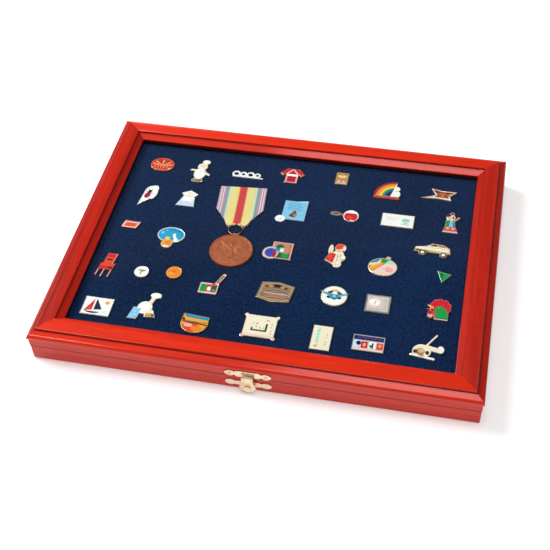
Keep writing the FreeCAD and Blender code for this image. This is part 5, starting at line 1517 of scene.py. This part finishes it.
@dataclass
class Ribbon:
    """Ribbon looped round the medal's ring, folded in to a point there and over the brooch bar at the top."""

    width: float = 41.0
    rise: float = 45.9
    taper: float = 18.4
    slope: float = 0.7
    ring_half: float = 5.4
    cloth: float = 0.12
    layer: float = 0.15
    rows: int = 300
    columns: int = 132
    samples: int = 4000
    rounding: int = 28

    def build(self) -> None:
        """Lay the strip along its path and fold its edges in."""
        x, middle, z, outer = ring_middle()
        bend = outer - 0.6
        ring = (x, middle + bend, z)
        path, length = self.path(ring)
        a = np.linspace(-self.width / 2, self.width / 2, self.columns)[None, :]
        y, z = path[:, :1], path[:, 1:]
        run = np.gradient(path, axis=0)
        run /= np.linalg.norm(run, axis=1, keepdims=True)
        inward = np.column_stack([run[:, 1], -run[:, 0]])
        half = np.minimum(self.width / 2, self.width / 2 - self.slope * (ring[1] + self.taper - y))
        half = np.minimum(half, self.ring_half + 1.6 * np.maximum(y - ring[1] - 0.2, 0))
        t = np.abs(a) - half
        turns = np.maximum(t, 0) / (2 * half)
        fold = half - 2 * half * np.abs((turns + 1) % 2 - 1)
        folded = np.sign(a) * np.where(t > 0, fold, np.abs(a))
        painted_line_shade = a * half / (self.width / 2)
        loose = 1 - smooth(0.2, 1.6, y - ring[1])
        loose = np.maximum(loose, 1 - smooth(0.0, 0.5, run[:, :1]))
        loose = np.where(half >= self.width / 2, 0.0, loose)
        across = (1 - loose) * folded + loose * painted_line_shade
        lift = self.layer * (1 + (a > 0)) * (smooth(0, 0.8, t) + smooth(0, 0.8, t - 2 * half)) * (1 - loose)
        sag = bend - np.sqrt(bend ** 2 - np.minimum(np.abs(across), 0.96 * bend) ** 2)
        droop = sag * (1 - smooth(0, 6, y - ring[1]))
        wave = 0.05 * np.sin(y / 3.1 + a / 5.0) + 0.04 * np.sin(a / 2.3 - y / 7.0)
        wave = wave * smooth(3, 8, y - ring[1]) * (1 - smooth(40, 43, y - ring[1]))
        points = np.stack([ring[0] + across, y + inward[:, :1] * lift - droop,
                           z + inward[:, 1:] * lift + wave], axis=2)
        strip = lattice(as_pinned(points, (x, middle)))
        strip.faces = strip.faces[:, ::-1]
        steps = np.concatenate([[0], np.cumsum(np.linalg.norm(np.diff(path, axis=0), axis=1))])
        strip.paint = {"across": np.tile(a / (self.width / 2), (len(path), 1)).ravel(),
                       "along": np.repeat(steps, self.columns)}
        cloth = strip.build("striped_ribbon", RibbonSilk().material(), 180.0)
        wall = cloth.modifiers.new("cloth", "SOLIDIFY")
        wall.thickness = self.cloth * MM
        wall.offset = 0.0
        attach(cloth, "base")
        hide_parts("medal_ribbon")

    def path(self, ring: Sequence[float]) -> tuple[Array, float]:
        """Side view of the strip: its corners joined by straight runs and rounded by a moving average.

        Args:
            ring: middle of the ring wire at its top.

        Returns:
            Points at even steps, and the length.
        """
        _, y, z = ring
        corners = np.array([
            (y + 11, z - 0.9), (y + 3, z - 0.85), (y - 0.3, z - 0.72), (y - 0.78, z),
            (y - 0.3, z + 0.72), (y + 1.6, z + 0.75), (y + 5, z + 0.45), (y + 12, z + 0.05),
            (y + 27, z - 0.3), (y + 41.5, z + 0.12), (y + self.rise, z + 0.12),
            (y + self.rise + 0.7, z - 0.38), (y + self.rise, z - 0.92), (y + 37.5, z - 0.98)])
        steps = np.concatenate([[0], np.cumsum(np.linalg.norm(np.diff(corners, axis=0), axis=1))])
        fine = np.linspace(0, steps[-1], self.samples)
        line = np.column_stack([np.interp(fine, steps, corners[:, i]) for i in (0, 1)])
        padded = np.pad(line, ((self.rounding, self.rounding), (0, 0)), mode="edge")
        window = np.hanning(2 * self.rounding + 1)
        window /= window.sum()
        line = np.column_stack([np.convolve(padded[:, i], window, "valid") for i in (0, 1)])
        steps = np.concatenate([[0], np.cumsum(np.linalg.norm(np.diff(line, axis=0), axis=1))])
        bend = np.abs(np.gradient(np.unwrap(np.arctan2(*np.gradient(line, axis=0).T))))
        density = np.cumsum(np.gradient(steps) * 1.0 + bend * 4.0)
        picks = np.interp(np.linspace(density[0], density[-1], self.rows), density, steps)
        return np.column_stack([np.interp(picks, steps, line[:, i]) for i in (0, 1)]), float(steps[-1])


# ---------------------------------------------------------------- pad
@dataclass
class FeltPad:
    """Felt stretched over the foam and turned down its sides, with the foam and the board under it."""

    step: float = 1.6
    corner: float = 4.0
    edge_round: float = 2.2
    crown: float = 0.07
    cloth: float = 0.9

    def build(self) -> None:
        low, high = (np.array(c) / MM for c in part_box("pad_felt_cover"))
        (width, depth), (x, y) = (high - low)[:2], ((high + low) / 2)[:2]
        outline = oblong(x, y, width, depth, 0, self.corner)

        def top(x: Array, y: Array) -> Array:
            """Level of the felt: a low crown with slow waves, rolled down at the edge on a quarter circle."""
            deep = -outline(x, y)
            waves = 0.5 + 0.25 * np.sin(x / 23.0 + 1.3 * np.sin(y / 31.0)) + 0.25 * np.sin(y / 19.0 - x / 41.0)
            rise = self.crown * waves * smooth(0, 30, deep)
            near = np.clip(1 - deep / self.edge_round, 0, 1)
            return high[2] + rise - self.edge_round * (1 - np.sqrt(np.maximum(1 - near * near, 0)))

        cover = plate(outline, (low[0], high[0], low[1], high[1]), self.step, top, low[2], closed=False)
        felt = cover.build("felt_cover", Felt().material(), 180.0)
        wall = felt.modifiers.new("cloth", "SOLIDIFY")
        wall.thickness = self.cloth * MM
        wall.offset = -1.0
        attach(felt, "base")
        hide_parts("pad_felt_cover")
        dress(Sheetstock("pad_foam", "E8E2D0", "D2CAB2", scale=900.0).material(), "pad_foam")
        dress(Sheetstock("backing_board", "B7A48A", "8E7C62").material(), "pad_backing_board")




# ---------------------------------------------------------------- case
@dataclass
class WoodCase:
    """Mitred base and lid, the panel under them and their corner nails."""

    eased: float = 0.00035

    def build(self) -> None:
        """Dress the rails along their own grain, the side rails in a darker copy that paints shade on them, and
        the plain pieces.
        """
        across = StainedWood("cherry_across", Along.ACROSS_FRONT).material()
        # The side rails' darker colours are painted shade: the front and back rails catch a sheen along the
        # grain that the side rails miss.
        deep = StainedWood("cherry_front_to_back_painted_shade", Along.FRONT_TO_BACK, "B81E06", "A21604", "7E1004").material()
        for box in ("base", "lid"):
            dress(across, box + "_front_rail", box + "_back_rail")
            dress(deep, box + "_left_rail", box + "_right_rail")
            soften(self.eased, *(f"{box}_{side}_rail" for side in ("front", "back", "left", "right")))
        dress(Sheetstock("hardboard", "8A5F3C", "5E3C22").material(), "base_panel")
        dress(Metal("nail_steel", "B8B8B4", "6E6C68", 0.35).material(), "base_corner_nails", "lid_corner_nails",
              "glazing_brads")


@dataclass
class Glazing:
    """Glass pane and the strips that hold it up."""

    def build(self) -> None:
        """Dress the pane and the strips."""
        dress(ClearGlass().material(), "glass_pane")
        dress(Sheetstock("plain_wood", "8A2E1E", "5E1A10", (0.06, 1, 1)).material(), "glazing_strips")


@dataclass
class Hardware:
    """Brass hinges and clasp, with the spring."""

    eased: float = 0.00012

    def build(self) -> None:
        """Dress and ease the metal pieces."""
        hinge = Metal("hinge_brass", "D9B26A", "8C6A34", 0.28).material()
        clasp = Metal("clasp_brass", "FCE8CC", "E0BC8C", 0.24, metallic=0.6).material()
        soften(self.eased, "clasp_catch_plate", "clasp_base_plate", "clasp_lever")
        dress(hinge, "hinge_base_leaves", "hinge_lid_leaves", "hinge_pins", "hinge_base_screws",
              "hinge_lid_screws")
        dress(clasp, "clasp_catch_plate", "clasp_base_plate", "clasp_lever", "clasp_pivot_pin",
              "clasp_base_nails", "clasp_catch_nails")
        dress(Metal("spring_steel", "A9ABAE", "5C5E62", 0.3).material(), "clasp_spring")


# ---------------------------------------------------------------- studio
@dataclass(frozen=True)
class SoftBox:
    """Rectangular studio light aimed at the case."""

    name: str
    place: tuple[float, float, float]
    size: tuple[float, float]
    power: float
    colour: Colour = (1.0, 1.0, 1.0)

    def build(self) -> None:
        """Hang the light and turn it towards the middle of the case."""
        data = bpy.data.lights.new(self.name, "AREA")
        data.shape = "RECTANGLE"
        data.size, data.size_y = self.size
        data.energy = self.power
        data.color = self.colour
        light = bpy.data.objects.new(self.name, data)
        bpy.context.scene.collection.objects.link(light)
        light.location = self.place
        light.rotation_euler = (-Vector(self.place)).to_track_quat("-Z", "Y").to_euler()


@dataclass
class Studio:
    """Pale floor, even sky, soft boxes and the camera."""

    azimuth: float = 14.04
    elevation: float = 47.82
    roll: float = -3.07
    lens: float = 68.1
    place: tuple[float, float, float] = (0.1374, -0.5793, 0.6455)
    sky: float = 0.18
    floor_size: float = 6.0
    sheet_glow: float = 0.26
    boxes: tuple[SoftBox, ...] = (
        SoftBox("key_light", (-1.3, 0.45, 1.5), (1.0, 1.0), 34.0),
        SoftBox("top_light", (0.3, -0.2, 2.2), (1.2, 1.2), 24.0),
        SoftBox("front_light", (-0.2, -1.7, 0.55), (1.4, 0.5), 1.3, (1.0, 0.75, 1.0)),
    )

    def build(self) -> None:
        """Set up everything round the case."""
        self.sky_and_floor()
        for box in self.boxes:
            box.build()
        self.camera()
        bpy.context.scene.view_settings.view_transform = "Standard"

    def sky_and_floor(self) -> None:
        """Even white sky over a wide white sheet with a faint gloss."""
        world = bpy.data.worlds.new("even_sky")
        world.use_nodes = True
        back = world.node_tree.nodes["Background"]
        back.inputs["Color"].default_value = (1, 1, 1, 1)
        back.inputs["Strength"].default_value = self.sky
        bpy.context.scene.world = world
        tree = Tree("white_sheet")
        fibres = tree.noise(tree.place(), 300.0)
        colour = tree.ramp(fibres, [(0.3, (0.93, 0.93, 0.93)), (0.7, (0.96, 0.96, 0.96))])
        tree.finish(Base_Color=colour, Roughness=0.35, Emission_Color=colour, Emission_Strength=self.sheet_glow)
        half = self.floor_size / 2
        corners = np.array([(-half, -half, 0), (half, -half, 0), (half, half, 0), (-half, half, 0)])
        mesh = bpy.data.meshes.new("floor")
        mesh.from_pydata(corners.tolist(), [], [(0, 1, 2, 3)])
        mesh.materials.append(tree.material)
        floor = bpy.data.objects.new("floor", mesh)
        floor.location.z = -0.0002
        bpy.context.scene.collection.objects.link(floor)

    def camera(self) -> None:
        """Camera at the viewing angle, rolled a little, with everything sharp."""
        turn, rise, lean = (math.radians(v) for v in (self.azimuth, self.elevation, self.roll))
        back = Vector((math.sin(turn) * math.cos(rise), -math.cos(turn) * math.cos(rise), math.sin(rise)))
        level = Vector((math.cos(turn), math.sin(turn), 0))
        upright = back.cross(level)
        right = math.cos(lean) * level + math.sin(lean) * upright
        up = -math.sin(lean) * level + math.cos(lean) * upright
        data = bpy.data.cameras.new("camera")
        data.lens = self.lens
        camera = bpy.data.objects.new("camera", data)
        bpy.context.scene.collection.objects.link(camera)
        camera.matrix_world = Matrix.Translation(self.place) @ Matrix((right, up, back)).transposed().to_4x4()
        bpy.context.scene.camera = camera


PARTS = (WoodCase(), Glazing(), Hardware(), FeltPad(), LapelPins(), Medal(), Ribbon(), Studio())


def main() -> None:
    """Build every sub-assembly in order and report each."""
    logging.basicConfig(level=logging.INFO, format="%(name)s: %(message)s")
    for part in PARTS:
        part.build()
        log.info("%s done", type(part).__name__)


if __name__ == "__main__":
    main()
